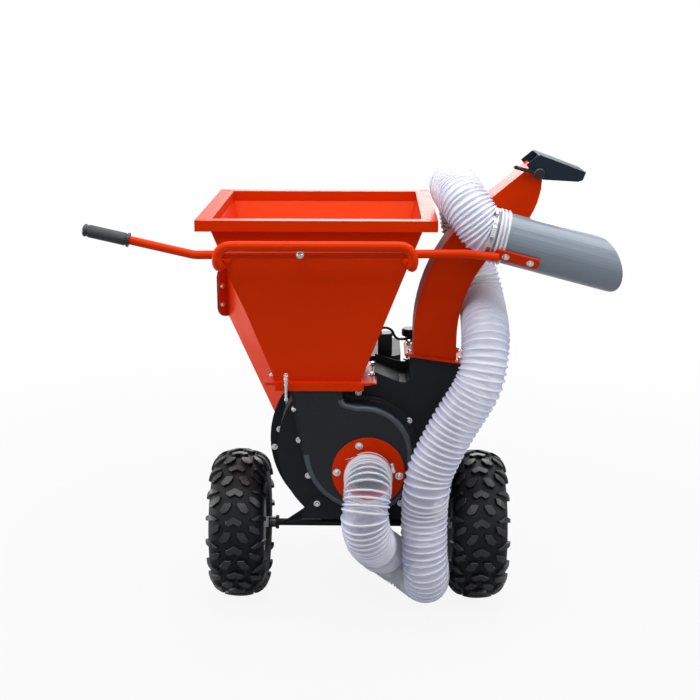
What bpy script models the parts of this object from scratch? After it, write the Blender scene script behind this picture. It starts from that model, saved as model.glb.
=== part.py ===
# Wheeled chipper shredder with a vacuum hose, modelled piece by piece in metres, +Z up.
# X runs along the wheel axle, to the right as seen from the suction side.
# Y runs from the suction side to the engine side, and Z = 0 is the ground.
# Places below are measured from the middle of the axle. Every piece is then moved by PLACE,
# so that the origin is on the ground below the middle of the whole machine without its hose.

import math

import bmesh
import bpy
from mathutils import Matrix, Vector

# General sizes
PLACE = Vector((0.0120, -0.0617, 0))
GAP = 0.0003
SHEET = 0.0025
BITE = 0.002

# Wheels and axle
WHEEL_RADIUS = 0.1775
TYRE_WIDTH = 0.133
TRACK = 0.567
RIM_RADIUS = 0.080
RIM_WALL = 0.0022
TYRE_WALL = 0.009
HUB_RADIUS = 0.0128
HUB_INNER_END = 0.0170
AXLE_RADIUS = 0.0085
AXLE_COLLAR_RADIUS = 0.0165
AXLE_COLLAR_WIDTH = 0.007
AXLE_NUT_RADIUS = 0.0145

# Crankshaft line
CRANK_X = 0.024
CRANK_Z = 0.360

# Housing drum
DRUM_X = 0.0221
DRUM_Z = 0.3975
DRUM_RADIUS = 0.2081
DRUM_BOTTOM = 0.2215
DRUM_FRONT = -0.085
DRUM_BACK = 0.018
THROAT_TOP = 0.5655
THROAT_LEFT = -0.146
THROAT_RIGHT = 0.036
SHOULDER_Z = 0.5815
SHOULDER_LOW_Z = 0.5580
NECK_LEFT = 0.1180
REAR_SHOULDER_Z = 0.5960
REAR_SHOULDER_LOW_Z = 0.5790
NECK_RIGHT = 0.2330
REAR_X = 0.0046
REAR_Z = 0.3853
REAR_RADIUS = 0.2158
REAR_TOP_LEFT = -0.176

# Front cover
COVER_FRONT = -0.140
COVER_LEFT_TOP = -0.147
COVER_LEFT_WAIST = -0.1215
COVER_WAIST_Z = 0.400
COVER_NECK_RIGHT = -0.035
COVER_ARC_X = 0.011
COVER_ARC_Z = 0.4045
COVER_ARC_RADIUS = 0.1105
COVER_LOW_RADIUS = 0.098
COVER_LIP = 0.011

# Suction inlet
INLET_RADIUS = 0.083
INLET_PLATE = 0.003
COLLAR_RADIUS = 0.050
COLLAR_WALL = 0.0025
COLLAR_LENGTH = 0.045

# Hopper
HOPPER_X = -0.090
HOPPER_BASE = 0.0060
HOPPER_BASE_HALF = 0.123
HOPPER_BASE_FRONT = -0.1445
HOPPER_BASE_BACK = 0.044
FUNNEL_LOW_HALF = 0.0963
FUNNEL_HIGH_HALF = 0.2300
FUNNEL_LOW_FRONT = -0.125
FUNNEL_LOW_BACK = 0.016
FUNNEL_HIGH_FRONT = -0.143
FUNNEL_HIGH_BACK = 0.305
RIM_HALF_WIDTH = 0.2620
RIM_FRONT = -0.162
RIM_BACK = 0.330
RIM_BOTTOM = 0.9155
RIM_TOP = 0.9395
RIM_BAR = 0.028
LIP_LEFT = -0.185
LIP_RIGHT = 0.013
LIP_DROP = 0.012
LATCH_X = -0.160
LATCH_RADIUS = 0.0032

# Grab bar
BAR_RADIUS = 0.0110
BAR_HALF = 0.2110
BAR_Y = -0.222
BAR_Z = 0.8950
BAR_BEND = 0.028
BAR_FOOT_BEND = 0.016
BAR_FOOT_HALF = 0.2065
BAR_END_HALF = 0.1970
BAR_END_Z = 0.849

# Discharge chute
CHUTE_FRONT = -0.086
CHUTE_DEPTH = 0.100
CHUTE_WIDTH = 0.097
CHUTE_TURN_X = 0.5105
CHUTE_TURN_Z = 0.660
CHUTE_TURN_RADIUS = 0.3375
CHUTE_TURN = math.radians(50.4)
CHUTE_STRAIGHT = 0.1455
CHUTE_OVERRUN = 0.040
CHUTE_FLANGE_X = 0.1728
CHUTE_FLANGE_Z = 0.6143
CHUTE_FLANGE_TILT = math.radians(8.3)
CHUTE_FLANGE_WIDTH = 0.136
CHUTE_FLANGE_EDGE = 0.009
CHUTE_FLANGE_PLATE = 0.005
MOUTH_ARC_X = 0.228
MOUTH_ARC_Z = 1.024
MOUTH_ARC_RADIUS = 0.172

# Deflector
PIVOT_X = 0.3918
PIVOT_Z = 1.0337
PIVOT_BOLT_RADIUS = 0.0040
DEFLECTOR_GAP = 0.0010
LEVER_LENGTH = 0.050
LEVER_BOSS_RADIUS = 0.0095
LEVER_BOSS_LENGTH = 0.0080

# Chipper chute
CHIPPER_PLAN = math.radians(50.0)
CHIPPER_RISE = math.radians(47.0)
CHIPPER_WIDTH = 0.070
CHIPPER_X = -0.1290
CHIPPER_Z = 0.4130
CHIPPER_REACH = 0.268
CHIPPER_FLANGE_WIDTH = 0.118
CHIPPER_FLANGE_LOW = 0.057
CHIPPER_FLANGE_HIGH = 0.065
CHIPPER_FLANGE_PLATE = 0.003
FLAP_THICKNESS = 0.003

# Rotor
SHAFT_RADIUS = 0.0125
FLYWHEEL_RADIUS = 0.132
FLYWHEEL_FRONT = -0.012
FLYWHEEL_BACK = -0.002
HUB_OUTER = 0.026
HUB_FRONT = -0.062
PADDLE_FRONT = -0.078
PADDLE_INNER = 0.045
PADDLE_OUTER = 0.128
PADDLE_THICKNESS = 0.004
PADDLES = 4
KNIVES = 2
KNIFE_LENGTH = 0.086
KNIFE_WIDTH = 0.032
KNIFE_THICKNESS = 0.007
KNIFE_MIDDLE = 0.084
FLAILS = 2
FLAIL_PIN_CIRCLE = 0.082
FLAIL_PIN_RADIUS = 0.0050
FLAIL_LENGTH = 0.048
FLAIL_WIDTH = 0.020
FLAIL_THICKNESS = 0.008

# Brackets from the drum to the axle
BRACKET_INNER = 0.0590
BRACKET_INNER_Z = 0.2553
BRACKET_TOP_Z = 0.2798
BRACKET_TOP_WIDTH = 0.020
BRACKET_SLOPE_WIDTH = 0.026
BRACKET_FOLD_Z = 0.2480
BRACKET_FOLD_CLEARANCE = 0.006
BRACKET_TIP = 0.1815

# Engine
FRAME_LOW = 0.1865
FRAME_HIGH = 0.2537
RAIL_WIDTH = 0.028
RAIL_LEFT = -0.090
RAIL_RIGHT = 0.110
FRAME_FRONT = -0.004
FRAME_REAR = 0.345
CASE_LEFT = -0.078
CASE_RIGHT = 0.118
CASE_FRONT = 0.050
CASE_BACK = 0.235
CASE_TOP = 0.455
CASE_WALL = 0.006
CYLINDER_TILT = math.radians(25.0)
CYLINDER_START = 0.098
CYLINDER_END = 0.190
CYLINDER_HALF = 0.048
CYLINDER_Y = 0.140
FINS = 6
HEAD_INSET = 0.004
FIN_HALF = 0.060
FIN_THICKNESS = 0.004
HEAD_LENGTH = 0.030
VALVE_COVER_LENGTH = 0.026
SHROUD_RADIUS = 0.104
SHROUD_BACK = 0.320
STARTER_RADIUS = 0.070
STARTER_DEPTH = 0.034
FAN_RADIUS = 0.095
PULLEY_RADIUS = 0.048
GRIP_TRAVEL = 0.300
TANK_LEFT = -0.125
TANK_RIGHT = 0.100
TANK_FRONT = 0.075
TANK_BACK = 0.255
TANK_LOW = 0.480
TANK_HIGH = 0.575
TANK_WALL = 0.0025
FILLER_X = -0.050
FILLER_Y = 0.165
FILLER_RADIUS = 0.020
CAP_RADIUS = 0.029
CAP_HEIGHT = 0.020
CLEANER_LEFT = 0.113
CLEANER_RIGHT = 0.200
CLEANER_FRONT = 0.105
CLEANER_BACK = 0.195
CLEANER_LOW = 0.560
CLEANER_HIGH = 0.616
MUFFLER_LEFT = 0.130
MUFFLER_RIGHT = 0.235
MUFFLER_FRONT = 0.215
MUFFLER_BACK = 0.300
MUFFLER_LOW = 0.480
MUFFLER_HIGH = 0.580
EXHAUST_RADIUS = 0.011
INTAKE_RADIUS = 0.014
INTAKE_PLACE = 0.167

# Rear leg
LEG_Y = 0.322
LEG_HALF = 0.015
LEG_LOW = 0.020
FOOT_RADIUS = 0.034

# Vacuum kit
PIPE_RADIUS = 0.055
PIPE_WALL = 0.004
PIPE_Y = -0.150
PIPE_START = Vector((0.2927, PIPE_Y, 0.9083))
PIPE_TILT = math.radians(14.8)
PIPE_MEAN_LENGTH = 0.244
PIPE_CUT_REACH = 0.040
PIPE_CUT_SIDE = math.radians(29.0)
WAND_RADIUS = 0.0095
WAND_Y = -0.1985
WAND_BOLT_X = -0.123
WAND_PLATE_ANGLE = math.radians(30.0)
WAND_PLATE_START = 0.004
WAND_PLATE_LENGTH = 0.100
WAND_PLATE_WIDTH = 0.026
WAND_PLATE_THICKNESS = 0.0045
WAND_PLATE_GAP = 0.0022
GRIP_RADIUS = 0.0135
GRIP_LENGTH = 0.101
HOSE_RADIUS = 0.0540
HOSE_LEAD = 0.0060
HOSE_WALL = 0.0025
HOSE_SIDES = 12

RED = (0.80, 0.075, 0.010, 1)
BLACK = (0.018, 0.021, 0.025, 1)
RUBBER = (0.012, 0.013, 0.015, 1)
STEEL = (0.62, 0.63, 0.65, 1)
WHITE = (0.72, 0.73, 0.74, 1)
DARK_BLUE = (0.016, 0.026, 0.040, 1)
GREY_PVC = (0.24, 0.27, 0.31, 1)
CLEAR_PVC = (0.78, 0.80, 0.88, 1)
CAST = (0.35, 0.36, 0.37, 1)


# Tools for making solids

def clear_scene():
    for old in list(bpy.data.objects):
        bpy.data.objects.remove(old, do_unlink=True)


def finish_material(name, colour, roughness=0.4, metallic=0.0):
    found = bpy.data.materials.get(name)
    if found:
        return found
    mat = bpy.data.materials.new(name)
    mat.use_nodes = True
    shader = mat.node_tree.nodes["Principled BSDF"]
    shader.inputs["Base Color"].default_value = colour
    shader.inputs["Roughness"].default_value = roughness
    shader.inputs["Metallic"].default_value = metallic
    return mat


def orange():
    return finish_material("orange_paint", RED, 0.28)


def black():
    return finish_material("black_paint", BLACK, 0.38)


def white():
    return finish_material("white_rim", WHITE, 0.3)


def steel():
    return finish_material("bright_steel", STEEL, 0.3, 1.0)


def rubber():
    return finish_material("black_rubber", RUBBER, 0.7)


def cast():
    return finish_material("cast_alloy", CAST, 0.5, 0.8)


def solid(name, bm, mat, origin=(0, 0, 0), sharp=35):
    """Turn world-space geometry into a named object whose own origin is at the given point."""
    bmesh.ops.recalc_face_normals(bm, faces=bm.faces)
    bmesh.ops.translate(bm, verts=bm.verts, vec=-Vector(origin))
    mesh = bpy.data.meshes.new(name)
    bm.to_mesh(mesh)
    bm.free()
    mesh.materials.append(mat)
    mesh.shade_smooth()
    mesh.set_sharp_from_angle(angle=math.radians(sharp))
    obj = bpy.data.objects.new(name, mesh)
    obj.location = Vector(origin) + PLACE
    bpy.context.scene.collection.objects.link(obj)
    return obj


def combine(obj, operation, bm):
    """Add or cut away a hidden helper solid with a Boolean modifier."""
    count = len(obj.modifiers)
    helper = solid(f"{obj.name}_{operation.lower()}_{count}", bm, obj.data.materials[0])
    helper.hide_render = True
    helper.display_type = "WIRE"
    step = obj.modifiers.new(f"{operation.title()} {count}", "BOOLEAN")
    step.operation = operation
    step.object = helper
    step.solver = "EXACT"
    return obj


def cut(obj, bm):
    return combine(obj, "DIFFERENCE", bm)


def weld(obj, bm):
    return combine(obj, "UNION", bm)


def loft(loops, around=False, caps=True):
    """Skin equal loops of points. With around, the last loop joins the first, as in a ring."""
    bm = bmesh.new()
    rows = [[bm.verts.new(p) for p in loop] for loop in loops]
    pairs = list(zip(rows, rows[1:]))
    if around:
        pairs.append((rows[-1], rows[0]))
    for a, b in pairs:
        for i in range(len(a)):
            j = (i + 1) % len(a)
            bm.faces.new((a[i], a[j], b[j], b[i]))
    if caps and not around:
        bm.faces.new(list(reversed(rows[0])))
        bm.faces.new(rows[-1])
    return bm


def prism(outline, low, high, axis="Y"):
    """Extrude a flat outline. Along Y the outline is (x, z), along Z it is (x, y), along X it is (y, z)."""
    place = {
        "Y": lambda a, b, t: (a, t, b),
        "Z": lambda a, b, t: (a, b, t),
        "X": lambda a, b, t: (t, a, b),
    }[axis]
    return loft([[place(a, b, t) for a, b in outline] for t in (low, high)])


def block(x0, x1, y0, y1, z0, z1):
    return prism([(x0, y0), (x1, y0), (x1, y1), (x0, y1)], z0, z1, "Z")


def rounded(x0, x1, y0, y1, radius, steps=4):
    """A rectangle with rounded corners, as an outline."""
    points = []
    for cx, cy, start in (
        (x1 - radius, y0 + radius, -90),
        (x1 - radius, y1 - radius, 0),
        (x0 + radius, y1 - radius, 90),
        (x0 + radius, y0 + radius, 180),
    ):
        points += arc(cx, cy, radius, start, start + 90, steps)
    return points


def arc(cx, cy, radius, start, end, steps):
    """Points of an arc, with angles in degrees from the first axis towards the second."""
    out = []
    for i in range(steps + 1):
        a = math.radians(start + (end - start) * i / steps)
        out.append((cx + radius * math.cos(a), cy + radius * math.sin(a)))
    return out


def grown(outline, by):
    """Move an outline outwards by a distance, or inwards where it is negative."""
    area = sum(a[0] * b[1] - b[0] * a[1] for a, b in zip(outline, outline[1:] + outline[:1]))
    side = 1 if area > 0 else -1
    out = []
    for i, here in enumerate(outline):
        before = Vector(outline[i - 1])
        after = Vector(outline[(i + 1) % len(outline)])
        here = Vector(here)
        into = (here - before).normalized()
        away = (after - here).normalized()
        n1 = Vector((into.y, -into.x)) * side
        n2 = Vector((away.y, -away.x)) * side
        middle = (n1 + n2).normalized()
        out.append(tuple(here + middle * by / max(middle.dot(n1), 0.5)))
    return out


def frame_of(direction):
    """A matrix whose Z axis points along the given direction."""
    return Vector(direction).to_track_quat("Z", "Y").to_matrix()


def turned(profile, centre, direction, sides=32, phase=0.0):
    """Revolve a closed profile of (radius, height) points; a radius of 0 closes on the axis."""
    turn = frame_of(direction)
    centre = Vector(centre)
    bm = bmesh.new()
    rows = []
    for r, h in profile:
        if r == 0:
            rows.append([bm.verts.new(centre + turn @ Vector((0, 0, h)))])
            continue
        ring = []
        for i in range(sides):
            a = 2 * math.pi * i / sides + phase
            ring.append(bm.verts.new(centre + turn @ Vector((r * math.cos(a), r * math.sin(a), h))))
        rows.append(ring)
    hollow = all(r > 0 for r, _ in profile)
    pairs = list(zip(rows, rows[1:]))
    if hollow:
        pairs.append((rows[-1], rows[0]))
    for a, b in pairs:
        for i in range(sides):
            j = (i + 1) % sides
            if len(a) == 1 and len(b) == 1:
                break
            if len(a) == 1:
                bm.faces.new((a[0], b[j], b[i]))
            elif len(b) == 1:
                bm.faces.new((a[i], a[j], b[0]))
            else:
                bm.faces.new((a[i], a[j], b[j], b[i]))
    return bm


def rod(start, end, radius, sides=16):
    start = Vector(start)
    end = Vector(end)
    length = (end - start).length
    return turned([(0, 0), (radius, 0), (radius, length), (0, length)], start, end - start, sides)


def pipe(start, end, outer, inner, sides=32):
    start = Vector(start)
    end = Vector(end)
    length = (end - start).length
    profile = [(inner, 0), (outer, 0), (outer, length), (inner, length)]
    return turned(profile, start, end - start, sides)


def bend(points, radii, steps=5):
    """Replace each inner corner of a route by an arc, with one radius for each corner."""
    points = [Vector(p) for p in points]
    out = [points[0]]
    for a, b, c, radius in zip(points, points[1:], points[2:], radii):
        u = (a - b).normalized()
        v = (c - b).normalized()
        half = u.angle(v) / 2
        reach = radius / math.tan(half)
        centre = b + (u + v).normalized() * radius / math.sin(half)
        start = b + u * reach - centre
        end = b + v * reach - centre
        for i in range(steps + 1):
            out.append(centre + start.slerp(end, i / steps) * radius)
    out.append(points[-1])
    return out


def carried(points, section):
    """Loops of a closed section carried along a route. The section is a list of (side, up) points."""
    points = [Vector(p) for p in points]
    up = Vector((0, 0, 1))
    if abs((points[1] - points[0]).normalized().dot(up)) > 0.9:
        up = Vector((0, 1, 0))
    loops = []
    for i, p in enumerate(points):
        before = points[max(i - 1, 0)]
        after = points[min(i + 1, len(points) - 1)]
        along = (after - before).normalized()
        up = (up - along * up.dot(along)).normalized()
        side = along.cross(up)
        loops.append([p + side * a + up * b for a, b in section])
    return loops


def swept(points, section):
    return loft(carried(points, section))


def round_section(radius, sides=12):
    return arc(0, 0, radius, 0, 360 * (sides - 1) / sides, sides - 1)


def collar(centre, direction, radius, height, core, sides=6):
    """A ring or nut to be welded round a rod of the core radius."""
    inner = core * 0.6
    profile = [(inner, 0), (radius, 0), (radius, height), (inner, height)]
    return turned(profile, centre, direction, sides, 0.1)


# Wheels and axle

def tyre_profile():
    """Section of the tyre as (radius, place across): beads, a round crown, and the air space inside."""
    half = TYRE_WIDTH / 2
    seat = RIM_RADIUS + GAP
    outside = [
        (seat, 0.76), (seat + 0.012, 0.90), (0.665 * WHEEL_RADIUS, 1.00), (0.800 * WHEEL_RADIUS, 0.97),
        (0.901 * WHEEL_RADIUS, 0.84), (0.963 * WHEEL_RADIUS, 0.60), (WHEEL_RADIUS, 0.25),
    ]
    inside = [(seat, 0.76), (0.665 * WHEEL_RADIUS, 1.00), (0.830 * WHEEL_RADIUS, 0.90), (WHEEL_RADIUS, 0.30)]
    outer = [(r, k * half) for r, k in outside]
    inner = [(max(r - TYRE_WALL, seat), k * half - TYRE_WALL) for r, k in inside]
    return outer + [(r, -h) for r, h in outer[::-1]] + [(r, -h) for r, h in inner] + inner[::-1]


def wheel(side, name):
    x = side * TRACK / 2
    centre = (x, 0, WHEEL_RADIUS)
    half = TYRE_WIDTH / 2
    solid(f"tyre_{name}", turned(tyre_profile(), centre, (side, 0, 0), 40), rubber(), centre)
    web = half * 0.25
    bead = half * 0.80
    bore = AXLE_RADIUS + GAP
    inner = -half - HUB_INNER_END
    outer = half * 0.35
    profile = [
        (bore, inner),
        (HUB_RADIUS, inner),
        (HUB_RADIUS, web - RIM_WALL),
        (RIM_RADIUS - 0.016, web - RIM_WALL),
        (RIM_RADIUS - RIM_WALL, -bead),
        (RIM_RADIUS, -bead),
        (RIM_RADIUS, bead),
        (RIM_RADIUS - RIM_WALL, bead),
        (RIM_RADIUS - 0.016, web),
        (HUB_RADIUS, web),
        (HUB_RADIUS, outer),
        (bore, outer),
    ]
    solid(f"wheel_rim_{name}", turned(profile, centre, (side, 0, 0), 40), white(), centre)


def axle():
    """Bar with a collar inside each wheel and a nut outside it."""
    hub_end = TRACK / 2 + TYRE_WIDTH * 0.175 + GAP
    reach = hub_end + 0.014
    bar = solid(
        "axle",
        rod((-reach, 0, WHEEL_RADIUS), (reach, 0, WHEEL_RADIUS), AXLE_RADIUS, 20),
        black(),
    )
    stop = TRACK / 2 - TYRE_WIDTH / 2 - HUB_INNER_END - GAP
    for side in (-1, 1):
        inside = (side * (stop - AXLE_COLLAR_WIDTH), 0, WHEEL_RADIUS)
        weld(bar, collar(inside, (side, 0, 0), AXLE_COLLAR_RADIUS, AXLE_COLLAR_WIDTH, AXLE_RADIUS, 24))
        outside = (side * hub_end, 0, WHEEL_RADIUS)
        weld(bar, collar(outside, (side, 0, 0), AXLE_NUT_RADIUS, 0.008, AXLE_RADIUS))


# Housing

def drum_outline(left=(DRUM_X, DRUM_Z, DRUM_RADIUS), top_left=THROAT_LEFT,
                 shoulder=(SHOULDER_Z, SHOULDER_LOW_Z)):
    """Front view of the drum with its throat and discharge neck, clockwise from the bottom left."""
    x, z, radius = left
    drop = math.degrees(math.asin((DRUM_Z - DRUM_BOTTOM) / DRUM_RADIUS))
    left_drop = math.degrees(math.asin((z - DRUM_BOTTOM) / radius))
    slope = math.tan(CHUTE_FLANGE_TILT)
    under = CHUTE_FLANGE_PLATE / 2 / math.cos(CHUTE_FLANGE_TILT) + GAP

    def flange_z(x):
        return CHUTE_FLANGE_Z - (x - CHUTE_FLANGE_X) * slope - under

    points = arc(x, z, radius, 180 + left_drop, 140, 22)
    points += [(top_left, THROAT_TOP), (THROAT_RIGHT, THROAT_TOP)]
    points += [(THROAT_RIGHT + 0.002, shoulder[0]), (NECK_LEFT - 0.024, shoulder[1])]
    points += [(NECK_LEFT - 0.010, shoulder[1] - 0.001), (NECK_LEFT - 0.002, shoulder[1] + 0.005)]
    points += [(NECK_LEFT, flange_z(NECK_LEFT)), (NECK_RIGHT, flange_z(NECK_RIGHT))]
    points += arc(DRUM_X, DRUM_Z, DRUM_RADIUS, 6, -drop, 14)
    return points


def cover_outline():
    """Front view of the bulged cover: a neck under the hopper and a round belly round the inlet."""
    points = [(COVER_LEFT_TOP, THROAT_TOP), (COVER_NECK_RIGHT, THROAT_TOP)]
    points += arc(COVER_NECK_RIGHT + 0.012, 0.532, 0.012, 180, 250, 4)
    points += arc(COVER_ARC_X, COVER_ARC_Z, COVER_ARC_RADIUS, 96, 4, 14)
    points += arc(CRANK_X, CRANK_Z, COVER_LOW_RADIUS, 8, -112, 14)
    start = Vector((COVER_LEFT_WAIST, COVER_WAIST_Z))
    end = Vector(points[-1])
    pull = Vector((COVER_LEFT_WAIST + 0.010, 0.300))
    for i in range(1, 8):
        t = i / 8
        p = end * (1 - t) ** 2 + pull * 2 * t * (1 - t) + start * t * t
        points.append((p.x, p.y))
    points.append((start.x, start.y))
    return points


def funnel_openings():
    """The two rectangles through which the hopper feeds the drum and the cover, as x0, x1, y0, y1."""
    drum = (THROAT_LEFT + 0.010, THROAT_RIGHT - 0.034, DRUM_FRONT + 0.005, DRUM_BACK - 0.006)
    cover = (COVER_LEFT_TOP + 0.009, COVER_NECK_RIGHT - 0.010, COVER_FRONT + 0.018, DRUM_FRONT - 0.006)
    return drum, cover


def housing_drum():
    shell = solid("housing_drum", prism(drum_outline(), DRUM_FRONT, DRUM_BACK), black())
    inner = grown(drum_outline(), -SHEET)
    cut(shell, prism(inner, DRUM_FRONT + SHEET, DRUM_BACK + 0.01))
    x0, x1, y0, y1 = funnel_openings()[0]
    cut(shell, block(x0, x1, y0, y1, THROAT_TOP - 0.01, THROAT_TOP + 0.01))
    left = NECK_LEFT + SHEET + 0.004
    right = NECK_RIGHT - SHEET - 0.004
    cut(shell, block(left, right, DRUM_FRONT + 0.006, DRUM_BACK - 0.006, 0.590, 0.640))
    cut(shell, prism(grown(cover_outline(), -0.008), DRUM_FRONT - 0.01, DRUM_FRONT + 0.01))
    return shell


def rear_plate():
    back = DRUM_BACK + GAP
    outline = drum_outline(
        (REAR_X, REAR_Z, REAR_RADIUS), REAR_TOP_LEFT, (REAR_SHOULDER_Z, REAR_SHOULDER_LOW_Z))
    plate = solid("rear_plate", prism(outline, back, back + SHEET), black())
    bore = SHAFT_RADIUS + 0.004
    cut(plate, rod((CRANK_X, back - 0.01, CRANK_Z), (CRANK_X, back + 0.02, CRANK_Z), bore, 24))
    cut(plate, chipper_prism(CHIPPER_WIDTH / 2 - SHEET, -0.08, 0.05))
    return plate


def front_cover():
    outline = cover_outline()
    back = DRUM_FRONT - GAP
    cover = solid("front_cover", prism(outline, COVER_FRONT, back - 0.001), black())
    lip = grown(outline, COVER_LIP)
    top = THROAT_TOP
    lip = [(x, min(z, top)) for x, z in lip]
    weld(cover, prism(lip, back - SHEET, back))
    cut(cover, prism(grown(outline, -SHEET), COVER_FRONT + SHEET, back + 0.01))
    x0, x1, y0, y1 = funnel_openings()[1]
    cut(cover, block(x0, x1, y0, y1, top - 0.01, top + 0.01))
    bore = COLLAR_RADIUS + 0.001
    front = (CRANK_X, COVER_FRONT - 0.01, CRANK_Z)
    cut(cover, rod(front, (CRANK_X, COVER_FRONT + 0.01, CRANK_Z), bore, 32))
    return cover


def inlet_flange():
    """Orange disc on the cover with the collar that the hose slips over."""
    back = COVER_FRONT - GAP
    inner = COLLAR_RADIUS - COLLAR_WALL
    profile = [
        (inner, 0),
        (INLET_RADIUS, 0),
        (INLET_RADIUS, INLET_PLATE),
        (COLLAR_RADIUS, INLET_PLATE),
        (COLLAR_RADIUS, INLET_PLATE + COLLAR_LENGTH),
        (inner, INLET_PLATE + COLLAR_LENGTH),
    ]
    solid("inlet_flange", turned(profile, (CRANK_X, back, CRANK_Z), (0, -1, 0), 48), orange())


# Hopper

def rectangle(x0, x1, y0, y1, z):
    return [(x0, y0, z), (x1, y0, z), (x1, y1, z), (x0, y1, z)]


def funnel_rectangle(t, inset, z):
    """Section of the funnel at a share t of its height, drawn in by the inset."""
    half = FUNNEL_LOW_HALF + (FUNNEL_HIGH_HALF - FUNNEL_LOW_HALF) * t - inset
    front = FUNNEL_LOW_FRONT + (FUNNEL_HIGH_FRONT - FUNNEL_LOW_FRONT) * t + inset
    back = FUNNEL_LOW_BACK + (FUNNEL_HIGH_BACK - FUNNEL_LOW_BACK) * t - inset
    return rectangle(HOPPER_X - half, HOPPER_X + half, front, back, z)


def hopper_front(z):
    """Where the funnel's front wall stands at a height."""
    low = THROAT_TOP + HOPPER_BASE + 2 * GAP
    share = (z - low) / (RIM_BOTTOM - GAP - low)
    return FUNNEL_LOW_FRONT + (FUNNEL_HIGH_FRONT - FUNNEL_LOW_FRONT) * share


def hopper():
    base_low = THROAT_TOP + GAP
    base_high = base_low + HOPPER_BASE
    low = base_high + GAP
    high = RIM_BOTTOM - GAP
    loops = [
        funnel_rectangle(0, 0, low),
        funnel_rectangle(1, 0, high),
        funnel_rectangle(1, SHEET, high),
        funnel_rectangle(0, SHEET, low),
    ]
    solid("hopper_funnel", loft(loops, around=True), orange(), (HOPPER_X, 0, low))

    outline = rounded(
        HOPPER_X - HOPPER_BASE_HALF, HOPPER_X + HOPPER_BASE_HALF,
        HOPPER_BASE_FRONT, HOPPER_BASE_BACK, 0.014,
    )
    base = solid("hopper_base", prism(outline, base_low, base_high, "Z"), orange())
    lip_front = HOPPER_BASE_FRONT - SHEET
    weld(base, block(
        LIP_LEFT, LIP_RIGHT, lip_front, HOPPER_BASE_FRONT + BITE, base_low - LIP_DROP, base_high - 0.0007,
    ))
    for x0, x1, y0, y1 in funnel_openings():
        cut(base, block(x0, x1, y0, y1, base_low - 0.01, base_high + 0.01))

    outer = (HOPPER_X - RIM_HALF_WIDTH, HOPPER_X + RIM_HALF_WIDTH, RIM_FRONT, RIM_BACK)
    inner = (
        HOPPER_X - FUNNEL_HIGH_HALF + SHEET, HOPPER_X + FUNNEL_HIGH_HALF - SHEET,
        RIM_FRONT + RIM_BAR, FUNNEL_HIGH_BACK - SHEET,
    )
    loops = [
        rectangle(*outer, RIM_BOTTOM),
        rectangle(*outer, RIM_TOP),
        rectangle(*inner, RIM_TOP),
        rectangle(*inner, RIM_BOTTOM),
    ]
    solid("hopper_rim", loft(loops, around=True), orange())


def latch_pin():
    """Spring pin that stands in front of the base lip and is pulled up to free the hopper."""
    y = HOPPER_BASE_FRONT - SHEET - LATCH_RADIUS - GAP
    low = THROAT_TOP - 0.028
    high = THROAT_TOP + 0.016
    pin = solid(
        "latch_pin", rod((LATCH_X, y, low), (LATCH_X, y, high), LATCH_RADIUS, 12), steel(),
        (LATCH_X, y, low),
    )
    weld(pin, rod((LATCH_X, y, high - 0.001), (LATCH_X, y, high + 0.005), LATCH_RADIUS * 1.7, 12))
    weld(pin, rod((LATCH_X, y, low - 0.005), (LATCH_X, y, low + 0.001), LATCH_RADIUS * 1.4, 12))


def grab_bar():
    """Bent tube across the hopper front, with its ends turned back along the hopper sides."""
    end_y = hopper_front(BAR_END_Z + BAR_RADIUS) - 0.0018
    route = []
    for side in (-1, 1):
        leg = [
            (HOPPER_X + side * BAR_END_HALF, end_y, BAR_END_Z),
            (HOPPER_X + side * BAR_FOOT_HALF, BAR_Y, BAR_END_Z),
            (HOPPER_X + side * BAR_HALF, BAR_Y, BAR_Z),
        ]
        route += leg if side < 0 else leg[::-1]
    radii = [BAR_FOOT_BEND, BAR_BEND, BAR_BEND, BAR_FOOT_BEND]
    solid("grab_bar", swept(bend(route, radii), round_section(BAR_RADIUS)), orange())


# Discharge chute

def chute_path():
    """Middle line of the chute as (x, z, angle of the outward side), from base to mouth."""
    stations = []
    start_z = CHUTE_FLANGE_Z + CHUTE_FLANGE_PLATE
    side = (math.pi, 0.0)
    x = CHUTE_TURN_X - CHUTE_TURN_RADIUS
    stations.append((x, start_z - 0.004, side[0]))
    steps = 12
    for i in range(steps + 1):
        a = math.pi - CHUTE_TURN * i / steps
        stations.append((
            CHUTE_TURN_X + CHUTE_TURN_RADIUS * math.cos(a),
            CHUTE_TURN_Z + CHUTE_TURN_RADIUS * math.sin(a),
            a,
        ))
    x, z, a = stations[-1]
    run = CHUTE_STRAIGHT + CHUTE_OVERRUN
    stations.append((x + run * math.sin(a), z - run * math.cos(a), a))
    return stations


def chute_loops(half_width, y0, y1, stretch=0.0):
    """Loops across the chute at each station. Stretch lengthens both ends."""
    loops = []
    path = chute_path()
    for i, (x, z, a) in enumerate(path):
        if i == 0:
            z -= stretch
        if i == len(path) - 1:
            x += stretch * math.sin(a)
            z -= stretch * math.cos(a)
        ox, oz = math.cos(a), math.sin(a)
        outer = (x + ox * half_width, z + oz * half_width)
        inner = (x - ox * half_width, z - oz * half_width)
        loops.append([
            (outer[0], y0, outer[1]), (inner[0], y0, inner[1]),
            (inner[0], y1, inner[1]), (outer[0], y1, outer[1]),
        ])
    return loops


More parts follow.
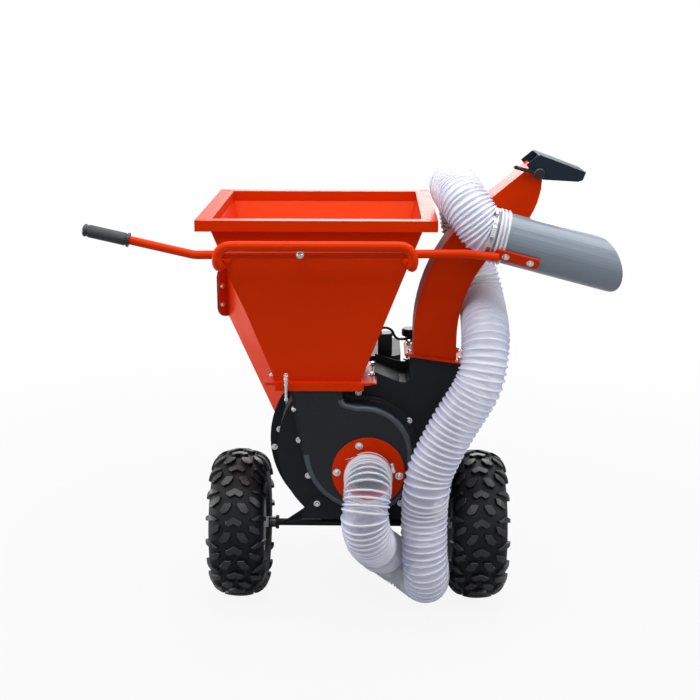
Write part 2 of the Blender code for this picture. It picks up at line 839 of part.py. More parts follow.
def mouth_cutter(y0, y1):
    """Everything beyond the round mouth edge."""
    edge = arc(MOUTH_ARC_X, MOUTH_ARC_Z, MOUTH_ARC_RADIUS, -62, 3, 12)
    x, z, a = chute_path()[-1]
    half = CHUTE_WIDTH / 2
    corner = Vector((x - CHUTE_OVERRUN * math.sin(a), z + CHUTE_OVERRUN * math.cos(a)))
    outward = Vector((math.cos(a), math.sin(a)))
    top = [tuple(corner + outward * half), tuple(corner + outward * (half + 0.03))]
    far = [(MOUTH_ARC_X + 0.40, MOUTH_ARC_Z + 0.20), (MOUTH_ARC_X + 0.40, MOUTH_ARC_Z - 0.30)]
    return prism(edge + top + far, y0, y1)


def under_flange(depth):
    """A slab from the top of the chute's base flange downwards, to trim what meets it."""
    turn = Matrix.Rotation(CHUTE_FLANGE_TILT, 3, "Y")
    centre = Vector((CHUTE_FLANGE_X, 0, CHUTE_FLANGE_Z))
    top = CHUTE_FLANGE_PLATE / 2 + GAP
    slab = block(-0.2, 0.2, -0.3, 0.3, top - depth, top)
    for v in slab.verts:
        v.co = centre + turn @ v.co
    return slab


def discharge():
    y0 = CHUTE_FRONT
    y1 = CHUTE_FRONT + CHUTE_DEPTH
    half = CHUTE_WIDTH / 2
    chute = solid("discharge_chute", loft(chute_loops(half, y0, y1, 0.03)), orange())
    cut(chute, loft(chute_loops(half - SHEET, y0 + SHEET, y1 - SHEET, 0.06)))
    cut(chute, mouth_cutter(y0 - 0.01, y1 + 0.01))
    cut(chute, under_flange(0.12))

    turn = Matrix.Rotation(CHUTE_FLANGE_TILT, 3, "Y")
    centre = Vector((CHUTE_FLANGE_X, 0, CHUTE_FLANGE_Z))
    outline = rounded(
        -CHUTE_FLANGE_WIDTH / 2, CHUTE_FLANGE_WIDTH / 2,
        y0 - CHUTE_FLANGE_EDGE, y1 + CHUTE_FLANGE_EDGE, 0.006, 3,
    )
    plate = prism(outline, -CHUTE_FLANGE_PLATE / 2, CHUTE_FLANGE_PLATE / 2, "Z")
    for v in plate.verts:
        v.co = centre + turn @ v.co
    flange = solid("chute_flange", plate, orange())
    cut(flange, loft(chute_loops(half - SHEET, y0 + SHEET, y1 - SHEET, 0.06)))
    cut(flange, block(
        CHUTE_FLANGE_X - 0.04, CHUTE_FLANGE_X + 0.04, y0 + 0.01, y1 - 0.01,
        CHUTE_FLANGE_Z - 0.05, CHUTE_FLANGE_Z + 0.05,
    ))


def deflector():
    """Hood on the chute's mouth: two side plates and a top plate with a turned-down tip."""
    inside = DEFLECTOR_GAP
    y0 = CHUTE_FRONT - inside
    y1 = CHUTE_FRONT + CHUTE_DEPTH + inside
    side = [
        (PIVOT_X - 0.0275, PIVOT_Z + 0.0180),
        (PIVOT_X - 0.0050, PIVOT_Z + 0.0370),
        (PIVOT_X + 0.0020, PIVOT_Z + 0.0395),
        (PIVOT_X + 0.1022, PIVOT_Z + 0.0020),
        (PIVOT_X + 0.0960, PIVOT_Z - 0.0150),
        (PIVOT_X + 0.0860, PIVOT_Z - 0.0185),
        (PIVOT_X + 0.0096, PIVOT_Z - 0.0140),
        (PIVOT_X - 0.0230, PIVOT_Z + 0.0120),
    ]
    origin = (PIVOT_X, (y0 + y1) / 2, PIVOT_Z)
    hood = solid("deflector", prism(side, y0 - SHEET, y1 + SHEET), finish_material(
        "deflector_paint", DARK_BLUE, 0.35), origin)
    down = 0.080
    drop = Vector((0.1002, -0.0375)).normalized()
    normal = Vector((drop.y, -drop.x))
    lid = Vector(side[2])
    tip = Vector(side[3])
    hollow = [
        lid + normal * SHEET - drop * 0.09,
        tip + normal * SHEET + drop * 0.05,
        tip + normal * down + drop * 0.05,
        lid + normal * down - drop * 0.09,
    ]
    cut(hood, prism([tuple(p) for p in hollow], y0, y1))
    bore = PIVOT_BOLT_RADIUS + GAP
    cut(hood, rod((PIVOT_X, y0 - 0.02, PIVOT_Z), (PIVOT_X, y1 + 0.02, PIVOT_Z), bore, 16))
    return y0 - SHEET, y1 + SHEET


def clamp_levers(y0, y1):
    """A levered bolt through each side of the hood and the chute, with its nut inside the chute."""
    chute = bpy.data.objects["discharge_chute"]
    bore = PIVOT_BOLT_RADIUS + GAP
    through = (PIVOT_X, CHUTE_FRONT - 0.02, PIVOT_Z), (PIVOT_X, CHUTE_FRONT + CHUTE_DEPTH + 0.02, PIVOT_Z)
    cut(chute, rod(*through, bore, 16))
    ends = (
        ("front", y0, -1, CHUTE_FRONT + SHEET, math.radians(165)),
        ("rear", y1, 1, CHUTE_FRONT + CHUTE_DEPTH - SHEET, math.radians(-70)),
    )
    for name, outside, out, inside, angle in ends:
        near = outside + out * GAP
        far = near + out * LEVER_BOSS_LENGTH
        boss = rod((PIVOT_X, near, PIVOT_Z), (PIVOT_X, far, PIVOT_Z), LEVER_BOSS_RADIUS, 20)
        lever = solid(f"clamp_lever_{name}", boss, rubber(), (PIVOT_X, near, PIVOT_Z))
        reach = Vector((math.cos(angle), 0, math.sin(angle)))
        mid = (near + far) / 2 + out * 0.001
        root = Vector((PIVOT_X, mid, PIVOT_Z)) + reach * 0.003
        end = Vector((PIVOT_X, mid + out * 0.006, PIVOT_Z)) + reach * LEVER_LENGTH
        weld(lever, rod(root, end, 0.0036, 10))
        nut = (PIVOT_X, inside - out * GAP, PIVOT_Z)
        stud = (PIVOT_X, nut[1] - out * 0.004, PIVOT_Z)
        weld(lever, rod(stud, (PIVOT_X, near + out * BITE, PIVOT_Z), PIVOT_BOLT_RADIUS, 16))
        weld(lever, rod(stud, nut, PIVOT_BOLT_RADIUS * 2, 6))


# Chipper chute

def chipper_axes():
    """Directions along the chute, across it and up across it."""
    plan = Vector((-math.cos(CHIPPER_PLAN), math.sin(CHIPPER_PLAN), 0))
    along = plan * math.cos(CHIPPER_RISE) + Vector((0, 0, math.sin(CHIPPER_RISE)))
    across = Vector((-plan.y, plan.x, 0))
    return along, across, along.cross(across)


def chipper_prism(half, start, end):
    """A square bar along the chute's line, between two distances from where it meets the housing."""
    along, across, up = chipper_axes()
    foot = Vector((CHIPPER_X, DRUM_BACK, CHIPPER_Z))
    loops = []
    for t in (start, end):
        c = foot + along * t
        loops.append([c + across * a * half + up * b * half for a, b in ((-1, -1), (1, -1), (1, 1), (-1, 1))])
    return loft(loops)


def chipper_chute():
    """Square chute whose mouth is cut upright, with a plate round the mouth and a rubber flap."""
    plan = Vector((-math.cos(CHIPPER_PLAN), math.sin(CHIPPER_PLAN), 0))
    across = Vector((-plan.y, plan.x, 0))
    mouth = Vector((CHIPPER_X, DRUM_BACK, 0)) + plan * CHIPPER_REACH
    mouth.z = CHIPPER_Z + CHIPPER_REACH * math.tan(CHIPPER_RISE)
    length = CHIPPER_REACH / math.cos(CHIPPER_RISE) + 0.06

    def upright(outline, near, far):
        """An outline of (across, up) points in the mouth's plane, given a thickness along the plan."""
        return loft([
            [mouth + plan * t + across * a + Vector((0, 0, b)) for a, b in outline] for t in (near, far)
        ])

    half = CHIPPER_WIDTH / 2
    duct = solid("chipper_chute", chipper_prism(half, -0.06, length), orange())
    cut(duct, chipper_prism(half - SHEET, -0.09, length + 0.02))
    back = DRUM_BACK + GAP + SHEET + GAP
    cut(duct, block(-0.4, 0.2, back - 0.2, back, 0.1, 0.8))
    cut(duct, upright([(-0.2, -0.2), (0.2, -0.2), (0.2, 0.2), (-0.2, 0.2)], 0, 0.3))

    side = CHIPPER_FLANGE_WIDTH / 2
    outline = rounded(-side, side, -CHIPPER_FLANGE_LOW, CHIPPER_FLANGE_HIGH, 0.022, 3)
    flange = solid("chipper_flange", upright(outline, GAP, GAP + CHIPPER_FLANGE_PLATE), orange())
    cut(flange, chipper_prism(half - SHEET, length - 0.15, length + 0.05))
    near = CHIPPER_FLANGE_PLATE + 2 * GAP
    flap = solid("chipper_flap", upright(grown(outline, 0.002), near, near + FLAP_THICKNESS), rubber())
    for place in (-0.018, 0, 0.018):
        slot = [(place - 0.0012, -0.040), (place + 0.0012, -0.040), (place + 0.0012, 0.040),
                (place - 0.0012, 0.040)]
        cut(flap, upright(slot, near - 0.01, near + 0.02))


# Rotor

def polar(radius, angle, y):
    return Vector((CRANK_X + radius * math.cos(angle), y, CRANK_Z + radius * math.sin(angle)))


def radial_bar(inner, outer, width, y0, y1, angle):
    """A flat bar that points away from the shaft at the given angle."""
    out = Vector((math.cos(angle), 0, math.sin(angle)))
    side = Vector((-math.sin(angle), 0, math.cos(angle)))
    centre = Vector((CRANK_X, 0, CRANK_Z))
    loops = []
    for y in (y0, y1):
        loops.append([
            centre + Vector((0, y, 0)) + out * r + side * s
            for r, s in ((inner, -width / 2), (outer, -width / 2), (outer, width / 2), (inner, width / 2))
        ])
    return loft(loops)


def rotor():
    centre = (CRANK_X, 0, CRANK_Z)
    bore = SHAFT_RADIUS + GAP
    disc = [
        (bore, -HUB_FRONT),
        (bore, -FLYWHEEL_BACK),
        (FLYWHEEL_RADIUS, -FLYWHEEL_BACK),
        (FLYWHEEL_RADIUS, -FLYWHEEL_FRONT),
        (HUB_OUTER, -FLYWHEEL_FRONT),
        (HUB_OUTER, -HUB_FRONT),
    ]
    wheel_obj = solid("flywheel", turned(disc, centre, (0, -1, 0), 48), steel(), centre)
    for i in range(PADDLES):
        angle = math.radians(90 * i)
        weld(wheel_obj, radial_bar(
            PADDLE_INNER, PADDLE_OUTER, PADDLE_THICKNESS, PADDLE_FRONT, FLYWHEEL_FRONT + BITE, angle,
        ))
    for i in range(KNIVES):
        angle = math.radians(20 + 360 / KNIVES * i)
        y0 = FLYWHEEL_BACK + GAP
        solid(f"chipper_knife_{i + 1}", radial_bar(
            KNIFE_MIDDLE - KNIFE_LENGTH / 2, KNIFE_MIDDLE + KNIFE_LENGTH / 2,
            KNIFE_WIDTH, y0, y0 + KNIFE_THICKNESS, angle,
        ), steel(), centre)
    for i in range(FLAILS):
        flail(i + 1, math.radians(45 + 360 / FLAILS * i))
    shaft = solid("crankshaft", rod(
        (CRANK_X, HUB_FRONT - 0.012, CRANK_Z), (CRANK_X, SHROUD_BACK - 0.028, CRANK_Z), SHAFT_RADIUS, 24,
    ), steel(), centre)
    for y in (0.115, 0.150):
        weld(shaft, radial_bar(-0.045, 0.034, 0.044, y, y + 0.014, math.radians(90)))
    front = (CRANK_X, HUB_FRONT - GAP, CRANK_Z)
    weld(shaft, collar(front, (0, -1, 0), 0.019, 0.009, 0.016))


def flail(number, angle):
    """A swinging hammer, hanging straight down from its pin on the front face of the flywheel."""
    front = FLYWHEEL_FRONT - GAP
    pin_end = front - FLAIL_THICKNESS - 2 * GAP
    start = polar(FLAIL_PIN_CIRCLE, angle, front)
    pin = solid(f"flail_pin_{number}", rod(
        start, polar(FLAIL_PIN_CIRCLE, angle, pin_end - 0.004), FLAIL_PIN_RADIUS, 16), steel(), start)
    weld(pin, rod(
        polar(FLAIL_PIN_CIRCLE, angle, pin_end), polar(FLAIL_PIN_CIRCLE, angle, pin_end - 0.005),
        FLAIL_PIN_RADIUS * 1.8, 16))
    y1 = front - GAP
    y0 = y1 - FLAIL_THICKNESS
    half = FLAIL_WIDTH / 2
    bar = solid(f"flail_{number}", block(
        start.x - half, start.x + half, y0, y1, start.z - FLAIL_LENGTH, start.z + half), steel(), start)
    hole = FLAIL_PIN_RADIUS + GAP
    cut(bar, rod(
        polar(FLAIL_PIN_CIRCLE, angle, y0 - 0.01), polar(FLAIL_PIN_CIRCLE, angle, y1 + 0.01), hole, 16))


# Frame, brackets and leg

def engine_frame():
    """Two rails that lie on the axle, joined by a deck that carries the engine."""
    left = RAIL_LEFT
    right = RAIL_RIGHT + RAIL_WIDTH
    deck_front = DRUM_BACK + SHEET + 0.006
    deck = solid("engine_frame", block(
        left, right, deck_front, FRAME_REAR, FRAME_HIGH - 0.008, FRAME_HIGH), black())
    for x in (RAIL_LEFT, RAIL_RIGHT):
        weld(deck, block(
            x + 0.0005, x + RAIL_WIDTH - 0.0005, deck_front + 0.0005, FRAME_REAR - 0.0005,
            FRAME_LOW + 0.0005, FRAME_HIGH - 0.002))
        weld(deck, block(
            x, x + RAIL_WIDTH, FRAME_FRONT, FRAME_REAR - 0.02, FRAME_LOW, DRUM_BOTTOM - GAP))


def bracket(side, name):
    """Bent sheet: a plate flat on the drum's front, folded back beside the drum to a tip at the axle."""
    y = DRUM_FRONT - GAP - SHEET / 2
    low = DRUM_BOTTOM + 0.001
    rise = DRUM_Z - BRACKET_FOLD_Z - BRACKET_FOLD_CLEARANCE
    fold = DRUM_X + side * math.sqrt(DRUM_RADIUS ** 2 - rise ** 2)
    inner = CRANK_X + side * BRACKET_INNER
    crest = fold - side * BRACKET_SLOPE_WIDTH
    front = [
        (fold, y, low), (inner, y, low), (inner, y, BRACKET_INNER_Z),
        (crest - side * BRACKET_TOP_WIDTH, y, BRACKET_TOP_Z - 0.0015), (crest, y, BRACKET_TOP_Z),
        (fold, y, BRACKET_FOLD_Z),
    ]
    tip = (side * BRACKET_TIP, -AXLE_RADIUS - 0.002, WHEEL_RADIUS + AXLE_RADIUS * 0.6)
    bm = bmesh.new()
    verts = [bm.verts.new(p) for p in front]
    tip_vert = bm.verts.new(tip)
    bm.faces.new(verts if side < 0 else verts[::-1])
    bm.faces.new((verts[0], verts[-1], tip_vert) if side < 0 else (tip_vert, verts[-1], verts[0]))
    obj = solid(f"axle_bracket_{name}", bm, black())
    step = obj.modifiers.new("Sheet", "SOLIDIFY")
    step.thickness = SHEET
    step.offset = 0
    return obj


def rear_leg():
    top = FRAME_LOW - GAP
    bar = solid("rear_leg", block(
        CRANK_X - LEG_HALF, CRANK_X + LEG_HALF, LEG_Y - LEG_HALF, LEG_Y + LEG_HALF, LEG_LOW, top - 0.004,
    ), black())
    weld(bar, block(
        RAIL_LEFT, RAIL_RIGHT + RAIL_WIDTH, LEG_Y - LEG_HALF - 0.001, LEG_Y + LEG_HALF + 0.001,
        top - 0.012, top))
    centre = (CRANK_X, LEG_Y, 0)
    profile = [
        (0, 0), (FOOT_RADIUS, 0), (FOOT_RADIUS, 0.008), (FOOT_RADIUS * 0.8, LEG_LOW - GAP), (0, LEG_LOW - GAP),
    ]
    solid("leg_foot", turned(profile, centre, (0, 0, 1), 24), rubber())


# Engine

def crankcase():
    low = FRAME_HIGH + GAP
    case = solid("crankcase", prism(
        rounded(CASE_LEFT, CASE_RIGHT, low, CASE_TOP, 0.022), CASE_FRONT, CASE_BACK), cast())
    inner = rounded(
        CASE_LEFT + CASE_WALL, CASE_RIGHT - CASE_WALL, low + CASE_WALL, CASE_TOP - CASE_WALL, 0.018)
    cut(case, prism(inner, CASE_FRONT - 0.01, CASE_BACK - CASE_WALL))
    bore = SHAFT_RADIUS + GAP
    cut(case, rod((CRANK_X, CASE_BACK - 0.02, CRANK_Z), (CRANK_X, CASE_BACK + 0.02, CRANK_Z), bore, 24))
    back = CASE_FRONT - GAP
    cover = solid("crankcase_cover", prism(
        rounded(CASE_LEFT, CASE_RIGHT, low, CASE_TOP, 0.022), back - 0.008, back), cast())
    weld(cover, rod(
        (CRANK_X, back - 0.020, CRANK_Z), (CRANK_X, back - 0.004, CRANK_Z), 0.034, 32))
    cut(cover, rod((CRANK_X, back - 0.04, CRANK_Z), (CRANK_X, back + 0.02, CRANK_Z), bore, 24))


def cylinder_axes():
    along = Vector((math.cos(CYLINDER_TILT), 0, math.sin(CYLINDER_TILT)))
    up = Vector((-math.sin(CYLINDER_TILT), 0, math.cos(CYLINDER_TILT)))
    return Vector((CRANK_X, CYLINDER_Y, CRANK_Z + 0.010)), along, up


def tilted_block(start, end, half_up, half_y):
    """A block on the cylinder's own line, between two distances from the crank."""
    base, along, up = cylinder_axes()
    across = Vector((0, 1, 0))
    loops = []
    for t in (start, end):
        c = base + along * t
        loops.append([c + up * u + across * v for u, v in (
            (-half_up, -half_y), (half_up, -half_y), (half_up, half_y), (-half_up, half_y))])
    return loft(loops)


def cylinder():
    block_obj = solid("cylinder", tilted_block(
        CYLINDER_START, CYLINDER_END, CYLINDER_HALF, CYLINDER_HALF), cast())
    pitch = (CYLINDER_END - CYLINDER_START - 0.014) / FINS
    for i in range(FINS):
        t = CYLINDER_START + 0.014 + pitch * i
        weld(block_obj, tilted_block(t, t + FIN_THICKNESS, FIN_HALF, FIN_HALF))
    cut(block_obj, block(
        CASE_LEFT, CASE_RIGHT + GAP, CASE_FRONT, CASE_BACK + 0.02, FRAME_HIGH - 0.05, CASE_TOP + 0.08))
    start = CYLINDER_END - BITE
    head_half = FIN_HALF - HEAD_INSET
    weld(block_obj, tilted_block(start, CYLINDER_END + HEAD_LENGTH, head_half, head_half))
    start = CYLINDER_END + HEAD_LENGTH + GAP
    cover = solid("valve_cover", tilted_block(
        start, start + VALVE_COVER_LENGTH, 0.042, 0.036), black())
    rim = cover.modifiers.new("Soft edges", "BEVEL")
    rim.width = 0.006
    rim.segments = 2


def recoil():
    """Round blower shroud with the pull starter behind it, its pulley, fan and grip."""
    front = CASE_BACK + GAP
    centre = (CRANK_X, front, CRANK_Z)
    depth = SHROUD_BACK - front
    shroud = [
        (SHROUD_RADIUS - SHEET, 0),
        (SHROUD_RADIUS, 0),
        (SHROUD_RADIUS, depth - 0.014),
        (SHROUD_RADIUS - 0.014, depth),
        (STARTER_RADIUS - 0.012, depth),
        (STARTER_RADIUS - 0.012, depth - SHEET),
        (SHROUD_RADIUS - 0.015, depth - SHEET),
        (SHROUD_RADIUS - SHEET, depth - 0.015),
    ]
    solid("blower_shroud", turned(shroud, centre, (0, 1, 0), 48), black(), centre)
    back = SHROUD_BACK + GAP
    cap = [
        (0, 0.004),
        (0.0060, 0.004),
        (0.0060, STARTER_DEPTH - SHEET),
        (STARTER_RADIUS - 0.011, STARTER_DEPTH - SHEET),
        (STARTER_RADIUS - SHEET, STARTER_DEPTH - 0.011),
        (STARTER_RADIUS - SHEET, 0),
        (STARTER_RADIUS, 0),
        (STARTER_RADIUS, STARTER_DEPTH - 0.010),
        (STARTER_RADIUS - 0.010, STARTER_DEPTH),
        (0, STARTER_DEPTH),
    ]
    cover_centre = (CRANK_X, back, CRANK_Z)
    cover = solid("starter_cover", turned(cap, cover_centre, (0, 1, 0), 40), black())
    angle = math.radians(128)
    out = Vector((math.cos(angle), 0, math.sin(angle)))
    exit_y = back + 0.012
    hub = Vector((CRANK_X, exit_y, CRANK_Z))
    cut(cover, rod(hub + out * (STARTER_RADIUS - 0.02), hub + out * (STARTER_RADIUS + 0.02), 0.0055, 12))
    pulley_y = back + 0.006
    pulley = [
        (0.0065, 0), (PULLEY_RADIUS, 0), (PULLEY_RADIUS, 0.003), (PULLEY_RADIUS - 0.006, 0.005),
        (PULLEY_RADIUS - 0.006, 0.007), (PULLEY_RADIUS, 0.009), (PULLEY_RADIUS, 0.012),
        (0.0065, 0.012),
    ]
    pulley_centre = (CRANK_X, pulley_y, CRANK_Z)
    solid("starter_pulley", turned(pulley, pulley_centre, (0, 1, 0), 32), rubber(), pulley_centre)
    start = hub + out * (STARTER_RADIUS + GAP)
    grip = solid("starter_grip", rod(start, start + out * 0.016, 0.008, 12), rubber(), start)
    bar = start + out * 0.018
    along = Vector((-out.z, 0, out.x)) * 0.024
    weld(grip, rod(bar - along, bar + along, 0.0075, 12))
    fan = [
        (SHAFT_RADIUS + GAP, 0), (FAN_RADIUS, 0), (FAN_RADIUS, 0.008), (0.03, 0.008), (0.03, 0.020),
        (SHAFT_RADIUS + GAP, 0.020),
    ]
    fan_centre = (CRANK_X, front + 0.014, CRANK_Z)
    fan_obj = solid("cooling_fan", turned(fan, fan_centre, (0, 1, 0), 40), cast(), (CRANK_X, 0, CRANK_Z))
    for i in range(8):
        a = math.radians(45 * i)
        y0, y1 = fan_centre[1] + 0.006, fan_centre[1] + 0.030
        weld(fan_obj, radial_bar(0.055, FAN_RADIUS - 0.003, 0.003, y0, y1, a))


def fuel_system():
    outline = rounded(TANK_LEFT, TANK_RIGHT, TANK_FRONT, TANK_BACK, 0.028)
    tank = solid("fuel_tank", prism(outline, TANK_LOW, TANK_HIGH, "Z"), black())
    cut(tank, prism(grown(outline, -TANK_WALL), TANK_LOW + TANK_WALL, TANK_HIGH - TANK_WALL, "Z"))
    hole = (FILLER_X, FILLER_Y, TANK_HIGH - 0.01), (FILLER_X, FILLER_Y, TANK_HIGH + 0.01)
    cut(tank, rod(*hole, FILLER_RADIUS, 24))
    for x in (TANK_LEFT + 0.05, TANK_RIGHT - 0.05):
        weld(tank, block(
            x, x + 0.02, TANK_FRONT + 0.02, TANK_BACK - 0.03, CASE_TOP + GAP, TANK_LOW + 0.001))
    low = TANK_HIGH + GAP
    cap = [
        (0, -0.008), (FILLER_RADIUS - 0.0006, -0.008), (FILLER_RADIUS - 0.0006, 0), (CAP_RADIUS, 0),
        (CAP_RADIUS, CAP_HEIGHT * 0.8), (CAP_RADIUS - 0.004, CAP_HEIGHT), (0, CAP_HEIGHT),
    ]
    seat = (FILLER_X, FILLER_Y, low)
    solid("fuel_cap", turned(cap, seat, (0, 0, 1), 28), rubber(), seat)


def air_side():
    """Carburettor against the head, air cleaner over it, and the two control levers."""
    carb = solid("carburettor", block(0.125, 0.175, 0.118, 0.165, 0.520, CLEANER_LOW - GAP), cast())
    base, along, up = cylinder_axes()
    port = base + along * INTAKE_PLACE + up * (FIN_HALF + GAP)
    weld(carb, rod(port, port + up * 0.030, INTAKE_RADIUS, 20))
    outline = rounded(CLEANER_LEFT, CLEANER_RIGHT, CLEANER_FRONT, CLEANER_BACK, 0.014)
    cleaner = solid("air_cleaner", prism(outline, CLEANER_LOW, CLEANER_HIGH, "Z"), black())
    cut(cleaner, prism(grown(outline, -0.003), CLEANER_LOW + 0.004, CLEANER_HIGH - 0.004, "Z"))
    cut(cleaner, rod((0.150, 0.142, CLEANER_LOW - 0.01), (0.150, 0.142, CLEANER_LOW + 0.01), 0.013, 20))
    for name, z, angle in (("throttle_lever", 0.548, 165), ("choke_lever", 0.532, 200)):
        a = math.radians(angle)
        y = 0.118 - GAP
        pivot = Vector((0.140, y, z))
        reach = Vector((math.cos(a), 0, math.sin(a)))
        lever = solid(name, rod(pivot, pivot + Vector((0, -0.006, 0)), 0.006, 16), rubber(), pivot)
        arm = pivot + Vector((0, -0.0035, 0))
        weld(lever, rod(arm + reach * 0.002, arm + reach * 0.034, 0.0022, 8))


def exhaust():
    """Silencer box beside the head, with its outlet on the outer side."""
    outline = rounded(MUFFLER_LEFT, MUFFLER_RIGHT, MUFFLER_FRONT, MUFFLER_BACK, 0.018)
    box = solid("muffler", prism(outline, MUFFLER_LOW, MUFFLER_HIGH, "Z"), black())
    cut(box, prism(grown(outline, -SHEET), MUFFLER_LOW + SHEET, MUFFLER_HIGH - SHEET, "Z"))
    mid = (MUFFLER_LOW + MUFFLER_HIGH) / 2
    cut(box, rod((MUFFLER_RIGHT - 0.01, 0.258, mid), (MUFFLER_RIGHT + 0.01, 0.258, mid), 0.012, 16))
    base, along, _ = cylinder_axes()
    port = base + along * (CYLINDER_END + HEAD_LENGTH / 2)
    seat = Vector((port.x, CYLINDER_Y + FIN_HALF - HEAD_INSET + GAP, port.z))
    turn_y = MUFFLER_FRONT + 0.025
    route = [seat, (port.x, turn_y, port.z), (port.x, turn_y, MUFFLER_LOW + SHEET / 2)]
    weld(box, swept(bend(route, [0.014], 4), round_section(EXHAUST_RADIUS, 12)))


def small_engine_parts():
    base, along, _ = cylinder_axes()
    start = base + along * (CYLINDER_END + HEAD_LENGTH * 0.5) - Vector((0, FIN_HALF - HEAD_INSET + GAP, 0))
    solid("spark_plug", rod(start, start + Vector((0, -0.030, 0)), 0.009, 12), rubber())
    dip = Vector((CASE_LEFT - GAP, 0.090, 0.300))
    solid("oil_plug", rod(dip, dip + Vector((-0.012, 0, 0)), 0.013, 16), rubber(), dip)
    switch = Vector((CASE_LEFT - GAP, 0.195, 0.405))
    knob = solid("engine_switch", rod(switch, switch + Vector((-0.012, 0, 0)), 0.014, 20),
                 finish_material("switch_red", (0.6, 0.02, 0.02, 1), 0.4), switch)
    weld(knob, block(
        switch.x - 0.022, switch.x - 0.010, switch.y - 0.0035, switch.y + 0.0035,
        switch.z - 0.012, switch.z + 0.012))


# Vacuum kit

def pipe_axis():
    return Vector((math.cos(PIPE_TILT), 0, -math.sin(PIPE_TILT)))


def around_pipe(angle):
    """Direction away from the pipe's axis, at an angle below straight to the front."""
    down = Vector((0, 1, 0)).cross(pipe_axis())
    return Vector((0, -1, 0)) * math.cos(angle) + down * math.sin(angle)


def nozzle_pipe():
    along = pipe_axis()
    end = PIPE_START + along * (PIPE_MEAN_LENGTH + PIPE_CUT_REACH * 2)
    obj = solid("nozzle_pipe", pipe(PIPE_START, end, PIPE_RADIUS, PIPE_RADIUS - PIPE_WALL, 48),
                finish_material("grey_pvc", GREY_PVC, 0.3), PIPE_START)
    long_side = around_pipe(PIPE_CUT_SIDE)
    normal = (along - long_side * (PIPE_CUT_REACH / PIPE_RADIUS)).normalized()
    turn = frame_of(normal)
    middle = PIPE_START + along * PIPE_MEAN_LENGTH
    slab = block(-0.2, 0.2, -0.2, 0.2, 0, 0.2)
    for v in slab.verts:
        v.co = middle + turn @ v.co
    cut(obj, slab)
    return obj


def wand():
    """Bar with the grip on its left end and a flattened plate bolted to the pipe on its right."""
    along = pipe_axis()
    out = around_pipe(WAND_PLATE_ANGLE)
    across = along.cross(out)
    centre = PIPE_START + along * WAND_PLATE_START + out * (PIPE_RADIUS + WAND_PLATE_GAP)
    half = WAND_PLATE_WIDTH / 2
    outline = rounded(0, WAND_PLATE_LENGTH, -half, half, half * 0.7, 3)
    plate = [
        [centre + along * t + across * w + out * h for t, w in outline] for h in (0, WAND_PLATE_THICKNESS)
    ]
    join = centre + along * 0.012 + out * (WAND_PLATE_THICKNESS + WAND_RADIUS - 0.0015)
    route = [
        (-0.4860, WAND_Y, 0.9030), (-0.3474, WAND_Y, 0.8715),
        (0.2300, WAND_Y, 0.8760), join,
    ]
    bar = solid("wand_tube", swept(bend(route, [0.055, 0.055]), round_section(WAND_RADIUS)), orange())
    weld(bar, loft(plate))

    direction = (Vector(route[0]) - Vector(route[1])).normalized()
    start = Vector(route[0]) + direction * GAP
    profile = [
        (0, 0), (GRIP_RADIUS + 0.002, 0), (GRIP_RADIUS + 0.002, 0.004), (GRIP_RADIUS, 0.006),
        (GRIP_RADIUS, GRIP_LENGTH - 0.005), (GRIP_RADIUS - 0.004, GRIP_LENGTH), (0, GRIP_LENGTH),
    ]
    solid("wand_grip", turned(profile, start, direction, 24), rubber())
    z = route[1][2] + 0.0025
    wall = hopper_front(z) - 0.0010
    weld(bar, rod((WAND_BOLT_X, WAND_Y, z), (WAND_BOLT_X, wall, z), 0.006, 12))


HOSE_ROUTE = [
    (0.0240, -0.2070, 0.3590),
    (0.0238, -0.2230, 0.3530),
    (0.0225, -0.2365, 0.3420),
    (0.0195, -0.2500, 0.3180),
    (0.0170, -0.2540, 0.2920),
    (0.0240, -0.2380, 0.2470),
    (0.0340, -0.2000, 0.2130),
    (0.0410, -0.1560, 0.1860),
    (0.0540, -0.1160, 0.1560),
    (0.0640, -0.0720, 0.1320),
    (0.0870, -0.0420, 0.1000),
    (0.1250, -0.0460, 0.0740),
    (0.1540, -0.0820, 0.0680),
    (0.1610, -0.1260, 0.0900),
    (0.1580, -0.1560, 0.1330),
    (0.1530, -0.1660, 0.1830),
    (0.1520, -0.1720, 0.2850),
    (0.1555, -0.1830, 0.3350),
    (0.1660, -0.1810, 0.3860),
    (0.2090, -0.1850, 0.4800),
    (0.2590, -0.1910, 0.5710),
    (0.2740, -0.1850, 0.6200),
    (0.2800, -0.1630, 0.6660),
    (0.2820, -0.1210, 0.6930),
    (0.2860, -0.0180, 0.7060),
    (0.2850, 0.0300, 0.7210),
    (0.2780, 0.0610, 0.7600),
    (0.2510, 0.0830, 0.8580),
    (0.2410, 0.0830, 0.9090),
    (0.2330, 0.0680, 0.9570),
    (0.2160, 0.0310, 0.9860),
    (0.2120, -0.0200, 0.9930),
    (0.2130, -0.0720, 0.9940),
    (0.2225, -0.1150, 0.9840),
    (0.2335, -0.1350, 0.9690),
    (0.2460, -0.1450, 0.9510),
    (0.2580, -0.1490, 0.9340),
    (0.2710, -0.1500, 0.9185),
]


def smooth_route(points, parts):
    """Points on a smooth curve through the route, a share of each step apart."""
    points = [Vector(p) for p in points]
    out = []
    for i in range(len(points) - 1):
        p0 = points[max(i - 1, 0)]
        p1 = points[i]
        p2 = points[i + 1]
        p3 = points[min(i + 2, len(points) - 1)]
        for k in range(parts):
            t = k / parts
            out.append(
                p1 * 0.5 * (2 - 5 * t * t + 3 * t ** 3)
                + p2 * 0.5 * (t + 4 * t * t - 3 * t ** 3)
                + p0 * 0.5 * (-t + 2 * t * t - t ** 3)
                + p3 * 0.5 * (-t * t + t ** 3)
            )
    out.append(points[-1])
    return out


